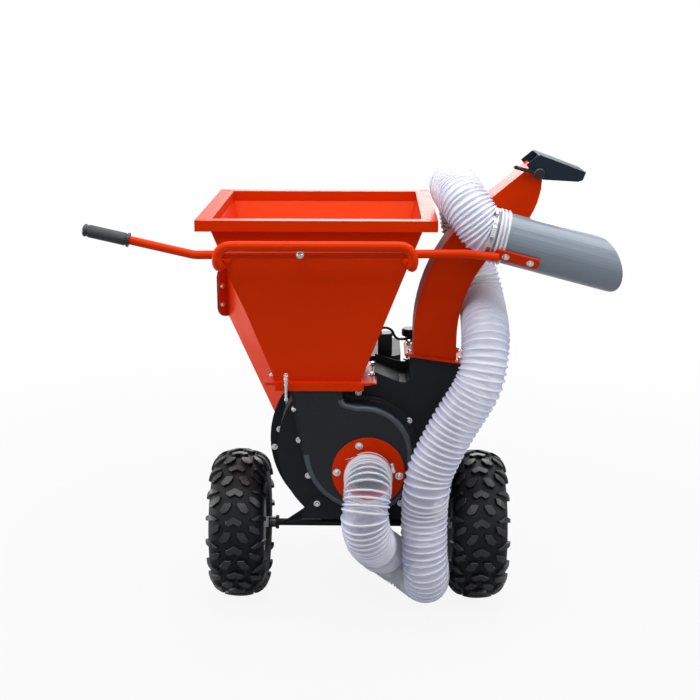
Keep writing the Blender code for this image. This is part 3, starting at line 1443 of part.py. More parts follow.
def hose_line():
    """The whole route, with a short straight lead out of the collar and another into the pipe."""
    out = Vector((0, -1, 0))
    mouth = Vector((CRANK_X, COVER_FRONT - INLET_PLATE - COLLAR_LENGTH - 2 * GAP, CRANK_Z))
    along = pipe_axis()
    seat = PIPE_START - along * GAP
    return [mouth] + smooth_route(
        [mouth + out * HOSE_LEAD] + HOSE_ROUTE + [seat - along * HOSE_LEAD], 2) + [seat]


def suction_hose():
    """Clear ribbed hose from the inlet collar to the pipe, here as a plain tube open at both ends."""
    line = hose_line()
    outside = carried(line, round_section(HOSE_RADIUS, HOSE_SIDES))
    inside = carried(line, round_section(HOSE_RADIUS - HOSE_WALL, HOSE_SIDES))
    wall = loft(outside + inside[::-1], around=True)
    solid("suction_hose", wall, finish_material("clear_pvc", CLEAR_PVC, 0.2))


def build():
    clear_scene()
    wheel(-1, "left")
    wheel(1, "right")
    axle()
    housing_drum()
    rear_plate()
    front_cover()
    inlet_flange()
    hopper()
    latch_pin()
    grab_bar()
    discharge()
    y0, y1 = deflector()
    clamp_levers(y0, y1)
    chipper_chute()
    rotor()
    engine_frame()
    bracket(-1, "left")
    bracket(1, "right")
    rear_leg()
    crankcase()
    cylinder()
    recoil()
    fuel_system()
    air_side()
    exhaust()
    small_engine_parts()
    nozzle_pipe()
    wand()
    suction_hose()


build()
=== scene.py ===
# %% [markdown]
# # A chipper shredder with its vacuum hose
#
# The machine stands on two lugged tyres and a rear leg. Leaves go in at the orange hopper or come up the clear
# hose, branches go in at the chipper chute on the left, and the black drum throws the chips out of the curved
# chute on the right. The solid parts come from the CAD model. This script gives them their finishes and adds
# what a solid model leaves out: ribs and wire in the hose, lugs on the tyres, knurls, bolts, clamps and fins.

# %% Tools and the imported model
import math

import bmesh
import bpy
import numpy as np
from mathutils import Matrix, Vector


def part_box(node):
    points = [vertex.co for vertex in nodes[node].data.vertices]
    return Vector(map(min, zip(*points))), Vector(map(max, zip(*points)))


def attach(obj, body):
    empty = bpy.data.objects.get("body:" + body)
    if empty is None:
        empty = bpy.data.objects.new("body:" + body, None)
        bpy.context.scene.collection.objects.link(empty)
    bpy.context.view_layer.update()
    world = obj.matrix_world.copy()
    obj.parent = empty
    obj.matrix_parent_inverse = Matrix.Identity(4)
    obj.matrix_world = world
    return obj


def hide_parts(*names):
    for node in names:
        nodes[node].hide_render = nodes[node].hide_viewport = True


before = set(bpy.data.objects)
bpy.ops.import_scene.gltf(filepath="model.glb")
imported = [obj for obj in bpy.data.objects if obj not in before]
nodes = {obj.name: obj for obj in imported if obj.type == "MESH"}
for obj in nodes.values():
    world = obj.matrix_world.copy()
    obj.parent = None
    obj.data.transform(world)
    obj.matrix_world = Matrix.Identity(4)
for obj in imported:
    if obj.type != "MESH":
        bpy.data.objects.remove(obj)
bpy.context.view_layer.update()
PLACE = Vector((0.0120, -0.0617, 0))


def place(x, y, z):
    """A point given from the middle of the axle, in the model's own frame."""
    return Vector((x, y, z)) + PLACE


# %% [markdown]
# ## One helper for every node tree
#
# Materials, the world and Geometry Nodes are all trees of nodes. In the editor a node is added, its menus are set,
# its fields are filled in and its sockets are joined by links. This helper does all of that in one call, so each
# tree below reads from top to bottom, like a recipe.


# %% A node in one call
def add_node(tree, kind, inputs=(), **menus):
    """A new node, with a value or a socket to link for each input given, by name or number."""
    node = tree.nodes.new(kind)
    for label, choice in menus.items():
        setattr(node, label, choice)
    for key, value in dict(inputs).items():
        if isinstance(value, bpy.types.NodeSocket):
            tree.links.new(value, node.inputs[key])
        else:
            node.inputs[key].default_value = value
    return node


# %% [markdown]
# ## Camera and light
#
# The photo was taken from a little above the hopper, nearly straight on, with a long lens. A long lens keeps the
# two wheels the same size. The light is a white room: a pale world with large soft lamps all round, so that
# gloss paint shows broad, calm reflections instead of small bright spots. One long narrow lamp above the camera
# draws the thin bright line that the pipe, the bars and the wand show along their tops.

# %% Camera
PITCH = math.radians(15.05)
YAW = math.radians(1.13)
FOCAL_PX, FRAME_PX, SENSOR_MM = 1253.0, 700.0, 36.0
CAMERA_AT = place(0.0354, -2.825, 1.3697)
camera_data = bpy.data.cameras.new("camera")
camera_data.sensor_width = SENSOR_MM
camera_data.lens = FOCAL_PX / FRAME_PX * SENSOR_MM
camera = bpy.data.objects.new("camera", camera_data)
bpy.context.scene.collection.objects.link(camera)
bpy.context.scene.camera = camera
ahead = Vector((-math.sin(YAW) * math.cos(PITCH), math.cos(YAW) * math.cos(PITCH), -math.sin(PITCH)))
right = Vector((math.cos(YAW), math.sin(YAW), 0))
turn = Matrix((right, right.cross(ahead), -ahead)).transposed().to_4x4()
camera.matrix_world = Matrix.Translation(CAMERA_AT) @ turn
print("lens", round(camera_data.lens, 1), "mm")

# %% World
ROOM_STRENGTH = 0.31
world = bpy.data.worlds.new("white_room")
bpy.context.scene.world = world
world.use_nodes = True
sky = world.node_tree
sky.nodes.clear()
room = add_node(sky, "ShaderNodeBackground", {"Color": (0.95, 0.97, 1.0, 1), "Strength": ROOM_STRENGTH})
seen = add_node(sky, "ShaderNodeBackground", {"Color": (1, 1, 1, 1), "Strength": 1.0})
ray = add_node(sky, "ShaderNodeLightPath").outputs
mirrored = add_node(sky, "ShaderNodeMath", {0: ray["Is Glossy Ray"], 1: ray["Is Transmission Ray"]},
                    operation="MAXIMUM")
shown = add_node(sky, "ShaderNodeMath", {0: ray["Is Camera Ray"], 1: mirrored.outputs[0]},
                 operation="MAXIMUM", use_clamp=True)
pick = add_node(sky, "ShaderNodeMixShader", {0: shown.outputs[0], 1: room.outputs[0], 2: seen.outputs[0]})
add_node(sky, "ShaderNodeOutputWorld", {"Surface": pick.outputs[0]})
bpy.context.scene.view_settings.view_transform = "Standard"
print("the room lights at", ROOM_STRENGTH, "and looks white")


# %% Lamps
def softbox(name, at, aim, width, height, power):
    """A rectangular lamp that looks at a point."""
    data = bpy.data.lights.new(name, "AREA")
    data.shape = "RECTANGLE"
    data.size, data.size_y = width, height
    data.energy = power
    lamp = bpy.data.objects.new(name, data)
    bpy.context.scene.collection.objects.link(lamp)
    lamp.location = at
    lamp.rotation_euler = (Vector(aim) - Vector(at)).to_track_quat("-Z", "Y").to_euler()


MIDDLE = (0, 0, 0.55)
softbox("top_box", (0.1, -0.1, 3.1), MIDDLE, 4.4, 3.0, 120)
softbox("left_box", (-2.6, -0.6, 1.5), MIDDLE, 1.0, 2.0, 24)
softbox("low_left_box", (-2.3, 0.45, 0.50), (0, 0.1, 0.5), 1.1, 0.9, 15)
softbox("right_box", (2.5, -1.2, 1.8), MIDDLE, 1.0, 1.8, 26)
softbox("back_box", (0.3, 2.6, 1.9), MIDDLE, 1.8, 1.4, 30)
softbox("strip_lamp", (0, -2.6, 3.2), MIDDLE, 4.0, 0.25, 12)
print("lamps:", len(bpy.data.lights))

# %% [markdown]
# The floor is one large pale sheet. For the light it is a plain grey that bounces a little and takes the shadow.
# For the camera most of it glows white, and all of it does a few steps away from the machine, so that it runs into
# the white background without an edge. A Light Path node tells the two cases apart. The sheet belongs to the
# studio, not to the machine.

# %% Floor
FLOOR_WHITE = 0.90
WHITE_FROM, WHITE_AT = 0.9, 2.6
FLOOR_CORNERS = [(-9, -9, 0), (9, -9, 0), (9, 14, 0), (-9, 14, 0)]
floor_mesh = bpy.data.meshes.new("floor")
floor_mesh.from_pydata(FLOOR_CORNERS, [], [(0, 1, 2, 3)])
floor = bpy.data.objects.new("floor", floor_mesh)
bpy.context.scene.collection.objects.link(floor)
pale = bpy.data.materials.new("pale_floor")
pale.use_nodes = True
ground = pale.node_tree
ground.nodes.clear()
matt = add_node(ground, "ShaderNodeBsdfDiffuse", {"Color": (0.42, 0.42, 0.43, 1)})
glow = add_node(ground, "ShaderNodeEmission", {"Strength": 1.0})
spot = add_node(ground, "ShaderNodeTexCoord")
away = add_node(ground, "ShaderNodeVectorMath", {0: spot.outputs["Object"]}, operation="LENGTH")
paler = add_node(ground, "ShaderNodeMapRange", {
    "Value": away.outputs["Value"], "From Min": WHITE_FROM, "From Max": WHITE_AT, "To Min": FLOOR_WHITE})
floor_ray = add_node(ground, "ShaderNodeLightPath").outputs
in_view = add_node(ground, "ShaderNodeMath", {0: floor_ray["Is Camera Ray"], 1: floor_ray["Is Transmission Ray"]},
                   operation="MAXIMUM")
share = add_node(ground, "ShaderNodeMath", {0: in_view.outputs[0], 1: paler.outputs[0]}, operation="MULTIPLY")
floor_look = add_node(ground, "ShaderNodeMixShader", {0: share.outputs[0], 1: matt.outputs[0], 2: glow.outputs[0]})
add_node(ground, "ShaderNodeOutputMaterial", {"Surface": floor_look.outputs[0]})
floor_mesh.materials.append(pale)
print("floor turns white between", WHITE_FROM, "and", WHITE_AT, "m")

# %% [markdown]
# ## Finishes
#
# Every finish starts from the same idea: one Principled shader, a slow noise that shifts the colour a little as
# dust and handling do, a second noise that shifts the roughness, and a fine noise that becomes bump. What makes
# paint, rubber or cast metal look different is the scale and the strength of those three.


# %% One recipe for a finish
def finish(name, base, roughness, metallic=0.0, tint=0.12, tint_scale=6.0, rough_spread=0.08,
           grain=0.02, grain_scale=900.0, coat=0.0, coat_roughness=0.1, specular=0.5, stretch=(1, 1, 1),
           soft_edge=0.0, gloss_tint=(1.0, 1.0, 1.0)):
    """A Principled material whose colour, roughness and bump vary over the surface."""
    mat = bpy.data.materials.new(name)
    mat.use_nodes = True
    tree = mat.node_tree
    shader = tree.nodes["Principled BSDF"]
    shader.inputs["Metallic"].default_value = metallic
    shader.inputs["Specular IOR Level"].default_value = specular
    shader.inputs["Specular Tint"].default_value = (*gloss_tint, 1)
    shader.inputs["Coat Weight"].default_value = coat
    shader.inputs["Coat Roughness"].default_value = coat_roughness
    where = add_node(tree, "ShaderNodeTexCoord")
    mapping = add_node(tree, "ShaderNodeMapping", {"Vector": where.outputs["Object"], "Scale": stretch})

    def noise(scale, detail):
        return add_node(tree, "ShaderNodeTexNoise", {
            "Vector": mapping.outputs[0], "Scale": scale, "Detail": detail}).outputs["Fac"]

    darker, lighter = [c * (1 - tint) for c in base], [min(1, c * (1 + tint)) for c in base]
    mix = add_node(tree, "ShaderNodeMix", {
        "Factor": noise(tint_scale, 4), "A": (*darker, 1), "B": (*lighter, 1)}, data_type="RGBA")
    tree.links.new(mix.outputs["Result"], shader.inputs["Base Color"])
    spread = add_node(tree, "ShaderNodeMapRange", {
        "Value": noise(tint_scale * 5, 3), "To Min": max(0.02, roughness - rough_spread),
        "To Max": min(1, roughness + rough_spread)})
    tree.links.new(spread.outputs[0], shader.inputs["Roughness"])
    bump = add_node(tree, "ShaderNodeBump", {"Strength": grain, "Distance": 0.001, "Height": noise(grain_scale, 2)})
    tree.links.new(bump.outputs[0], shader.inputs["Normal"])
    if soft_edge:
        rounding = add_node(tree, "ShaderNodeBevel", {"Radius": soft_edge}, samples=4)
        tree.links.new(rounding.outputs[0], bump.inputs["Normal"])
    return mat


# %% [markdown]
# The orange is a gloss powder coat: a saturated red-orange with a clear, slightly rippled skin. The black sheet
# metal has the same skin with less gloss. Powder coat shows a faint orange peel, a few millimetres across, so
# its grain is coarser than that of plastic. Folded sheet has no knife edges, so a Bevel node rounds every edge in
# the shading by one or two millimetres, and more on the pressed front cover, which is what lets the edges catch the
# light. The orange's own gloss is tinted, so its highlights stay orange, and only a thin clear coat reflects white.

# %% Paints
orange = finish("orange_gloss_paint", (0.62, 0.0270, 0.0006), 0.36, tint=0.06, grain=0.10, grain_scale=420,
                coat=0.05, coat_roughness=0.08, specular=0.14, soft_edge=0.0016, gloss_tint=(1.0, 0.42, 0.10))
black = finish("black_satin_paint", (0.0105, 0.0135, 0.0170), 0.40, tint=0.15, grain=0.12, grain_scale=500,
               specular=0.15, soft_edge=0.0012)
cover_black = finish("black_cover_paint", (0.0110, 0.0140, 0.0175), 0.30, tint=0.15, grain=0.08, grain_scale=500,
                     specular=0.26, soft_edge=0.0060)
# The rolled edge is the cover's own black paint. Its lighter, bluer colour here is a painted highlight along the
# bead.
edge_highlight_black = finish("black_edge_painted_highlight", (0.0400, 0.0560, 0.0720), 0.22, tint=0.12, grain=0.06, grain_scale=500,
                    specular=0.5)
deflector_blue = finish("blue_black_paint", (0.0120, 0.0200, 0.0310), 0.50, tint=0.12, grain=0.06,
                        grain_scale=500, specular=0.12, soft_edge=0.0016)
rim_white = finish("white_rim_paint", (0.62, 0.63, 0.64), 0.28, tint=0.05, grain=0.06, grain_scale=400, coat=0.4)
print("paints:", ", ".join(m.name for m in (orange, black, cover_black, edge_highlight_black, deflector_blue, rim_white)))

# %% [markdown]
# The rims are coloured white outside and black towards the middle of the machine. Two materials would need
# the rim cut in two. One comparison does the same: closer to the middle of the machine than the rim's disc, the
# colour is black. It reads Object coordinates, so the line stays on the wheel when the wheel turns.

# %% Dark hub inside the white rim
HUB_DARK_WITHIN = 0.2172
HUB_BLACK = (0.012, 0.015, 0.019, 1)
rim_tree = rim_white.node_tree
rim_shader = rim_tree.nodes["Principled BSDF"]
rim_spot = add_node(rim_tree, "ShaderNodeTexCoord")
rim_apart = add_node(rim_tree, "ShaderNodeSeparateXYZ", {0: rim_spot.outputs["Object"]})
from_middle = add_node(rim_tree, "ShaderNodeMath", {0: rim_apart.outputs["X"], 1: PLACE.x}, operation="SUBTRACT")
either_side = add_node(rim_tree, "ShaderNodeMath", {0: from_middle.outputs[0]}, operation="ABSOLUTE")
is_hub = add_node(rim_tree, "ShaderNodeMath", {0: either_side.outputs[0], 1: HUB_DARK_WITHIN},
                  operation="LESS_THAN")
rim_mix = add_node(rim_tree, "ShaderNodeMix", {
    "Factor": is_hub.outputs[0], "A": rim_shader.inputs["Base Color"].links[0].from_socket, "B": HUB_BLACK},
    data_type="RGBA")
rim_tree.links.new(rim_mix.outputs["Result"], rim_shader.inputs["Base Color"])
print("hubs are dark within", HUB_DARK_WITHIN, "m of the middle")

# %% [markdown]
# Bare metal differs from paint in one input, Metallic, and after that in how rough its reflection is: a polished
# band, bright zinc, ground steel and a sand cast alloy stand in that order. Most of the plastics and rubbers here
# are nearly black, so the eye tells them apart by their gloss and by how coarse their grain is. A stretched mapping
# draws the streaks along the extruded pipe and the grinding marks on the steel.

# %% Metals
zinc = finish("bright_zinc", (0.68, 0.69, 0.70), 0.24, metallic=1.0, tint=0.10, tint_scale=60, grain=0.05)
steel = finish("ground_steel", (0.50, 0.51, 0.53), 0.30, metallic=1.0, tint=0.10, tint_scale=30, grain=0.10,
               grain_scale=260, stretch=(1, 6, 1))
band_steel = finish("polished_band", (0.74, 0.75, 0.77), 0.16, metallic=1.0, tint=0.06, tint_scale=40, grain=0.03)
alloy = finish("cast_alloy", (0.42, 0.43, 0.44), 0.46, metallic=0.85, tint=0.14, tint_scale=18, grain=0.45,
               grain_scale=320)
print("metals:", ", ".join(m.name for m in (zinc, steel, band_steel, alloy)))

# %% Plastics and rubbers
pipe_grey = finish("grey_pipe_plastic", (0.180, 0.218, 0.262), 0.20, tint=0.05, tint_scale=9, grain=0.05,
                   grain_scale=200, specular=0.50, stretch=(1, 9, 9))
tyre_black = finish("tyre_rubber", (0.0050, 0.0058, 0.0074), 0.33, tint=0.30, tint_scale=14, grain=0.25,
                    grain_scale=700, specular=0.46)
# The carcass is the same rubber as the lugs. Its darker colour is painted shade in the grooves between the lugs, and
# its higher roughness and lower specular make it duller.
groove_shade_black = finish("tyre_rubber_groove_shade", (0.0022, 0.0026, 0.0034), 0.55, tint=0.30, tint_scale=14, grain=0.25,
                      grain_scale=700, specular=0.20)
rubber = finish("moulded_rubber", (0.0130, 0.0145, 0.0165), 0.52, tint=0.20, tint_scale=20, grain=0.25,
                grain_scale=800, specular=0.35)
grip_rubber = finish("grip_rubber", (0.0050, 0.0062, 0.0085), 0.30, tint=0.20, tint_scale=20, grain=0.10,
                     grain_scale=800, specular=0.50)
plastic = finish("black_moulded_plastic", (0.0110, 0.0125, 0.0150), 0.32, tint=0.15, tint_scale=12, grain=0.20,
                 grain_scale=900, specular=0.35)
red_plastic = finish("red_switch_plastic", (0.55, 0.015, 0.010), 0.28, tint=0.06, grain=0.05)
print("materials so far:", len(bpy.data.materials))

# %% [markdown]
# The hose wall is a film of clear PVC. Seen square on it lets most light through, and near its outline, where
# the eye looks along the film, it turns milky and a little violet. A Layer Weight node gives that angle, and it
# drives both the colour and the alpha. Dust and handling cloud the film, so an attribute named milk adds to the
# alpha away from the inlet. The wound rib in the wall is denser, so it is nearly white. The film bends light
# beside each rib, which shows as a blue line there. An attribute named sag, 0 on the rib and 1 midway to the
# next, drives a colour ramp for that.


# %% Clear PVC
EDGE_FROM, EDGE_AT = 0.12, 0.75
FRESH_STRIPES = 0.3


def clear_film(name, stripes, edge, thin, thick, roughness, milk=0.0):
    """A see-through plastic with stripes along its sag, dense and tinted along its outline."""
    mat = finish(name, stripes[0][1][:3], roughness, tint=0.03, tint_scale=8, grain=0.15, grain_scale=60)
    tree = mat.node_tree
    shader = tree.nodes["Principled BSDF"]
    dip = add_node(tree, "ShaderNodeAttribute", attribute_name="sag").outputs["Fac"]
    worn = add_node(tree, "ShaderNodeAttribute", attribute_name="milk").outputs["Fac"]
    stripe = add_node(tree, "ShaderNodeValToRGB", {"Fac": dip})
    while len(stripe.color_ramp.elements) < len(stripes):
        stripe.color_ramp.elements.new(0.5)
    for stop, (position, shade) in zip(stripe.color_ramp.elements, stripes):
        stop.position, stop.color = position, shade
    facing = add_node(tree, "ShaderNodeLayerWeight", {"Blend": 0.35}).outputs["Facing"]
    to_edge = add_node(tree, "ShaderNodeMapRange", {"Value": facing, "From Min": EDGE_FROM, "From Max": EDGE_AT})
    colour = add_node(tree, "ShaderNodeMix", {
        "Factor": to_edge.outputs[0], "A": stripe.outputs["Color"], "B": (*edge, 1)}, data_type="RGBA")
    tree.links.new(colour.outputs["Result"], shader.inputs["Base Color"])
    by_angle = add_node(tree, "ShaderNodeMapRange", {"Value": facing, "To Min": thin, "To Max": thick})
    clouded = add_node(tree, "ShaderNodeMath", {0: worn, 1: milk, 2: by_angle.outputs[0]},
                       operation="MULTIPLY_ADD", use_clamp=True)
    by_age = add_node(tree, "ShaderNodeMapRange", {"Value": worn, "To Min": FRESH_STRIPES})
    denser = add_node(tree, "ShaderNodeMath", {
        0: stripe.outputs["Alpha"], 1: by_age.outputs[0], 2: clouded.outputs[0]},
        operation="MULTIPLY_ADD", use_clamp=True)
    tree.links.new(denser.outputs[0], shader.inputs["Alpha"])
    return mat


# The film's stripes are painted light: the near white next to each rib is a painted highlight, and the blue band
# further out paints the light that the film bends.
FILM_STRIPES = [(0.0, (0.98, 0.98, 1.0, 0.50)), (0.50, (0.90, 0.92, 0.99, 0.32)), (0.66, (0.60, 0.65, 0.88, 0.42)),
                (0.85, (0.72, 0.76, 0.90, 0.24)), (1.0, (0.80, 0.83, 0.93, 0.16))]
RIB_STRIPES = [(0.0, (0.98, 0.98, 1.0, 1.0)), (1.0, (0.98, 0.98, 1.0, 1.0))]
hose_film = clear_film("clear_hose_film", FILM_STRIPES, (0.52, 0.56, 0.92), 0.05, 0.50, 0.11, milk=0.46)
hose_rib = clear_film("milky_hose_rib", RIB_STRIPES, (0.84, 0.86, 1.0), 1.0, 1.0, 0.14)
rib_inputs = hose_rib.node_tree.nodes["Principled BSDF"].inputs
rib_inputs["Transmission Weight"].default_value = 0.55
rib_inputs["IOR"].default_value = 1.30
print("film and rib:", hose_film.name, hose_rib.name)

# %% [markdown]
# Each solid of the CAD model is a node with its own mesh. A table of the finishes and of the nodes that wear them
# is easier to read and to change than a line for every node. Where a more detailed piece takes a node's place later
# on, the node still gets its finish, so that none is left bare.

# %% Finishes of the CAD nodes
WEARS = {
    orange: ["inlet_flange", "hopper_funnel", "hopper_base", "hopper_rim", "grab_bar", "discharge_chute",
             "chute_flange", "chipper_chute", "chipper_flange", "wand_tube"],
    black: ["housing_drum", "rear_plate", "axle", "engine_frame", "axle_bracket_left",
            "axle_bracket_right", "rear_leg", "blower_shroud", "starter_cover", "fuel_tank", "muffler",
            "valve_cover"],
    cover_black: ["front_cover"],
    deflector_blue: ["deflector"],
    rim_white: ["wheel_rim_left", "wheel_rim_right"],
    zinc: ["latch_pin", "throttle_lever", "choke_lever"],
    steel: ["flywheel", "chipper_knife_1", "chipper_knife_2", "flail_1", "flail_2", "flail_pin_1",
            "flail_pin_2", "crankshaft"],
    alloy: ["crankcase", "crankcase_cover", "cylinder", "cooling_fan", "carburettor"],
    plastic: ["clamp_lever_front", "clamp_lever_rear", "starter_pulley", "fuel_cap", "air_cleaner", "oil_plug"],
    rubber: ["chipper_flap", "leg_foot", "starter_grip", "spark_plug", "wand_grip"],
    tyre_black: ["tyre_left", "tyre_right"],
    red_plastic: ["engine_switch"],
    pipe_grey: ["nozzle_pipe"],
    hose_film: ["suction_hose"],
}
for material, names in WEARS.items():
    for name in names:
        nodes[name].data.materials.clear()
        nodes[name].data.materials.append(material)
print("finished nodes:", sum(len(names) for names in WEARS.values()))

# %% [markdown]
# ## The hose
#
# The hose is a fixed length of ribbed tube, 1.96 m of it, clamped to the inlet collar and to the grey pipe. Its
# centreline repeats the route of the CAD model. A smooth curve goes through the points, and is then cut into
# rings that lie close enough together to carry the ribs. Each ring is turned as little as possible from the one
# before it, so that nothing twists.

# %% Route
HOSE_DIAMETER = 0.108
HOSE_LEAD = 0.006
SEAT_GAP = 0.0003
HOSE_ROUTE = [
    (0.0240, -0.2070, 0.3590), (0.0238, -0.2230, 0.3530), (0.0225, -0.2365, 0.3420), (0.0195, -0.2500, 0.3180),
    (0.0170, -0.2540, 0.2920), (0.0240, -0.2380, 0.2470), (0.0340, -0.2000, 0.2130), (0.0410, -0.1560, 0.1860),
    (0.0540, -0.1160, 0.1560), (0.0640, -0.0720, 0.1320), (0.0870, -0.0420, 0.1000), (0.1250, -0.0460, 0.0740),
    (0.1540, -0.0820, 0.0680), (0.1610, -0.1260, 0.0900), (0.1580, -0.1560, 0.1330), (0.1530, -0.1660, 0.1830),
    (0.1520, -0.1720, 0.2850), (0.1555, -0.1830, 0.3350), (0.1660, -0.1810, 0.3860), (0.2090, -0.1850, 0.4800),
    (0.2590, -0.1910, 0.5710), (0.2740, -0.1850, 0.6200), (0.2800, -0.1630, 0.6660), (0.2820, -0.1210, 0.6930),
    (0.2860, -0.0180, 0.7060), (0.2850, 0.0300, 0.7210), (0.2780, 0.0610, 0.7600), (0.2510, 0.0830, 0.8580),
    (0.2410, 0.0830, 0.9090), (0.2330, 0.0680, 0.9570), (0.2160, 0.0310, 0.9860), (0.2120, -0.0200, 0.9930),
    (0.2130, -0.0720, 0.9940), (0.2225, -0.1150, 0.9840), (0.2335, -0.1350, 0.9690), (0.2460, -0.1450, 0.9510),
    (0.2580, -0.1490, 0.9340), (0.2710, -0.1500, 0.9185),
]
MOUTH = place(0.0240, -0.1886, 0.3600)
PIPE_START = place(0.2927, -0.1500, 0.9083)
PIPE_TILT = math.radians(14.8)
PIPE_AXIS = Vector((math.cos(PIPE_TILT), 0, -math.sin(PIPE_TILT)))


def smooth_line(points, parts):
    """Points on a smooth curve that goes through every given point."""
    p = np.array([points[0], *points, points[-1]], float)
    t = (np.arange(parts) / parts)[:, None]
    rows = [
        p[i + 1] * 0.5 * (2 - 5 * t ** 2 + 3 * t ** 3) + p[i + 2] * 0.5 * (t + 4 * t ** 2 - 3 * t ** 3)
        + p[i] * 0.5 * (-t + 2 * t ** 2 - t ** 3) + p[i + 3] * 0.5 * (t ** 3 - t ** 2)
        for i in range(len(p) - 3)
    ]
    return np.vstack([*rows, p[-1][None]])


def run_of(line):
    """How far along the line each of its points lies."""
    return np.concatenate([[0], np.cumsum(np.linalg.norm(np.diff(line, axis=0), axis=1))])


def frames_along(line):
    """Two cross directions at every point, with the least possible twist."""
    onward = np.gradient(line, axis=0)
    onward /= np.linalg.norm(onward, axis=1)[:, None]
    side = np.zeros_like(line)
    first = np.cross(onward[0], (0, 0, 1.0))
    side[0] = first / np.linalg.norm(first)
    for i in range(1, len(line)):
        s = side[i - 1] - onward[i] * (side[i - 1] @ onward[i])
        side[i] = s / np.linalg.norm(s)
    return side, np.cross(onward, side)


lead_out = MOUTH + Vector((0, -HOSE_LEAD, 0))
hose_end = PIPE_START - PIPE_AXIS * SEAT_GAP
lead_in = hose_end - PIPE_AXIS * HOSE_LEAD
free_line = smooth_line([lead_out, *[place(*p) for p in HOSE_ROUTE], lead_in], 16)
hose_line = np.vstack([np.array(MOUTH)[None], free_line, np.array(hose_end)[None]])
print("hose line", round(float(run_of(hose_line)[-1]), 3), "m")

# %% [markdown]
# The ribs are pushed together where the hose bends hard and over its arch, and drawn apart where it hangs. So
# the pitch is a curve along the length. Adding up one turn per pitch gives the number of turns at every point,
# and a sine of that number pulls the film in between one rib and the next.

# %% Rib pitch along the hose
PITCH_STOPS = [
    (0.000, 0.0085), (0.025, 0.0105), (0.050, 0.0125), (0.075, 0.0100), (0.100, 0.0085), (0.200, 0.0080),
    (0.235, 0.0090), (0.270, 0.0140), (0.330, 0.0160), (0.420, 0.0154), (0.500, 0.0144), (0.580, 0.0134),
    (0.720, 0.0125), (0.800, 0.0110), (0.840, 0.0085), (0.880, 0.0074), (0.940, 0.0074), (1.000, 0.0080),
]
RINGS_PER_TURN = 12
AROUND = 36
total = run_of(hose_line)[-1]
fine = np.linspace(0, total, 6000)
pitch = np.interp(fine / total, *zip(*PITCH_STOPS))
turns = np.concatenate([[0], np.cumsum(np.diff(fine) / ((pitch[1:] + pitch[:-1]) / 2))])
ring_turns = np.linspace(0, turns[-1], int(turns[-1] * RINGS_PER_TURN) + 1)
ring_run = np.interp(ring_turns, turns, fine)
centres = np.stack([np.interp(ring_run, run_of(hose_line), hose_line[:, k]) for k in range(3)], axis=1)
side, up = frames_along(centres)
print("turns", round(float(turns[-1])), "rings", len(centres))


# %% Hose wall
def linked(mesh, name, material, sharp=40):
    """Put a mesh in the scene under its name, with its material and smooth faces."""
    mesh.materials.append(material)
    mesh.shade_smooth()
    mesh.set_sharp_from_angle(angle=math.radians(sharp))
    obj = bpy.data.objects.new(name, mesh)
    bpy.context.scene.collection.objects.link(obj)
    return obj


def ring_skin(count, width):
    """Faces between rings of equal length, each ring closed."""
    i, j = np.meshgrid(np.arange(count - 1), np.arange(width), indexing="ij")
    k = (j + 1) % width
    return np.stack([i * width + j, i * width + k, (i + 1) * width + k, (i + 1) * width + j], -1).reshape(-1, 4)


RIB_HEIGHT = 0.0038
FILM_UNDER_RIB = 0.0012
SAG_SHAPE = 0.8
MILK_STOPS = [
    (0, 0), (0.035, 0), (0.065, 0.5), (0.10, 0.8), (0.30, 0.9), (0.38, 0.55), (0.74, 0.6), (0.80, 1), (1, 1)]
angle = np.arange(AROUND) / AROUND * 2 * np.pi
sag = np.abs(np.sin(np.pi * (ring_turns[:, None] - angle[None] / (2 * np.pi)))) ** SAG_SHAPE
radius = HOSE_DIAMETER / 2 - FILM_UNDER_RIB - RIB_HEIGHT * sag
wall = (centres[:, None] + side[:, None] * (radius * np.cos(angle))[..., None]
        + up[:, None] * (radius * np.sin(angle))[..., None])
hose_mesh = bpy.data.meshes.new("ribbed_hose")
hose_mesh.from_pydata(wall.reshape(-1, 3).tolist(), [], ring_skin(*wall.shape[:2])[:, ::-1].tolist())
milk_along = np.interp(ring_run / total, *zip(*MILK_STOPS))
for label, values in (("milk", np.repeat(milk_along, AROUND)), ("sag", sag.ravel())):
    hose_mesh.attributes.new(label, "FLOAT", "POINT").data.foreach_set("value", values)
hose = linked(hose_mesh, "ribbed_hose", hose_film, sharp=80)
print("hose wall faces", len(hose_mesh.polygons))

# %% [markdown]
# The rib itself is a round wire of milky plastic wound into the wall. It follows a path, so Geometry Nodes make
# it: the path is a plain line of edges, and the tree turns it into a curve and sweeps a small circle along it.
# The same tree later makes every other wire.


# %% Geometry Nodes: a wire along a line
def new_tree(name, sockets):
    """An empty node tree with a Geometry input and output and the given named inputs."""
    tree = bpy.data.node_groups.new(name, "GeometryNodeTree")
    tree.interface.new_socket(name="Geometry", in_out="INPUT", socket_type="NodeSocketGeometry")
    for label, kind, value in sockets:
        socket = tree.interface.new_socket(name=label, in_out="INPUT", socket_type=kind)
        if value is not None:
            socket.default_value = value
    tree.interface.new_socket(name="Geometry", in_out="OUTPUT", socket_type="NodeSocketGeometry")
    return tree, tree.nodes.new("NodeGroupInput"), tree.nodes.new("NodeGroupOutput")


def close_tree(tree, group_in, group_out, geometry):
    """End a tree in Realize Instances and Set Material."""
    real = add_node(tree, "GeometryNodeRealizeInstances", {0: geometry})
    painted = add_node(tree, "GeometryNodeSetMaterial", {
        "Geometry": real.outputs[0], "Material": group_in.outputs["Material"]})
    tree.links.new(painted.outputs[0], group_out.inputs[0])


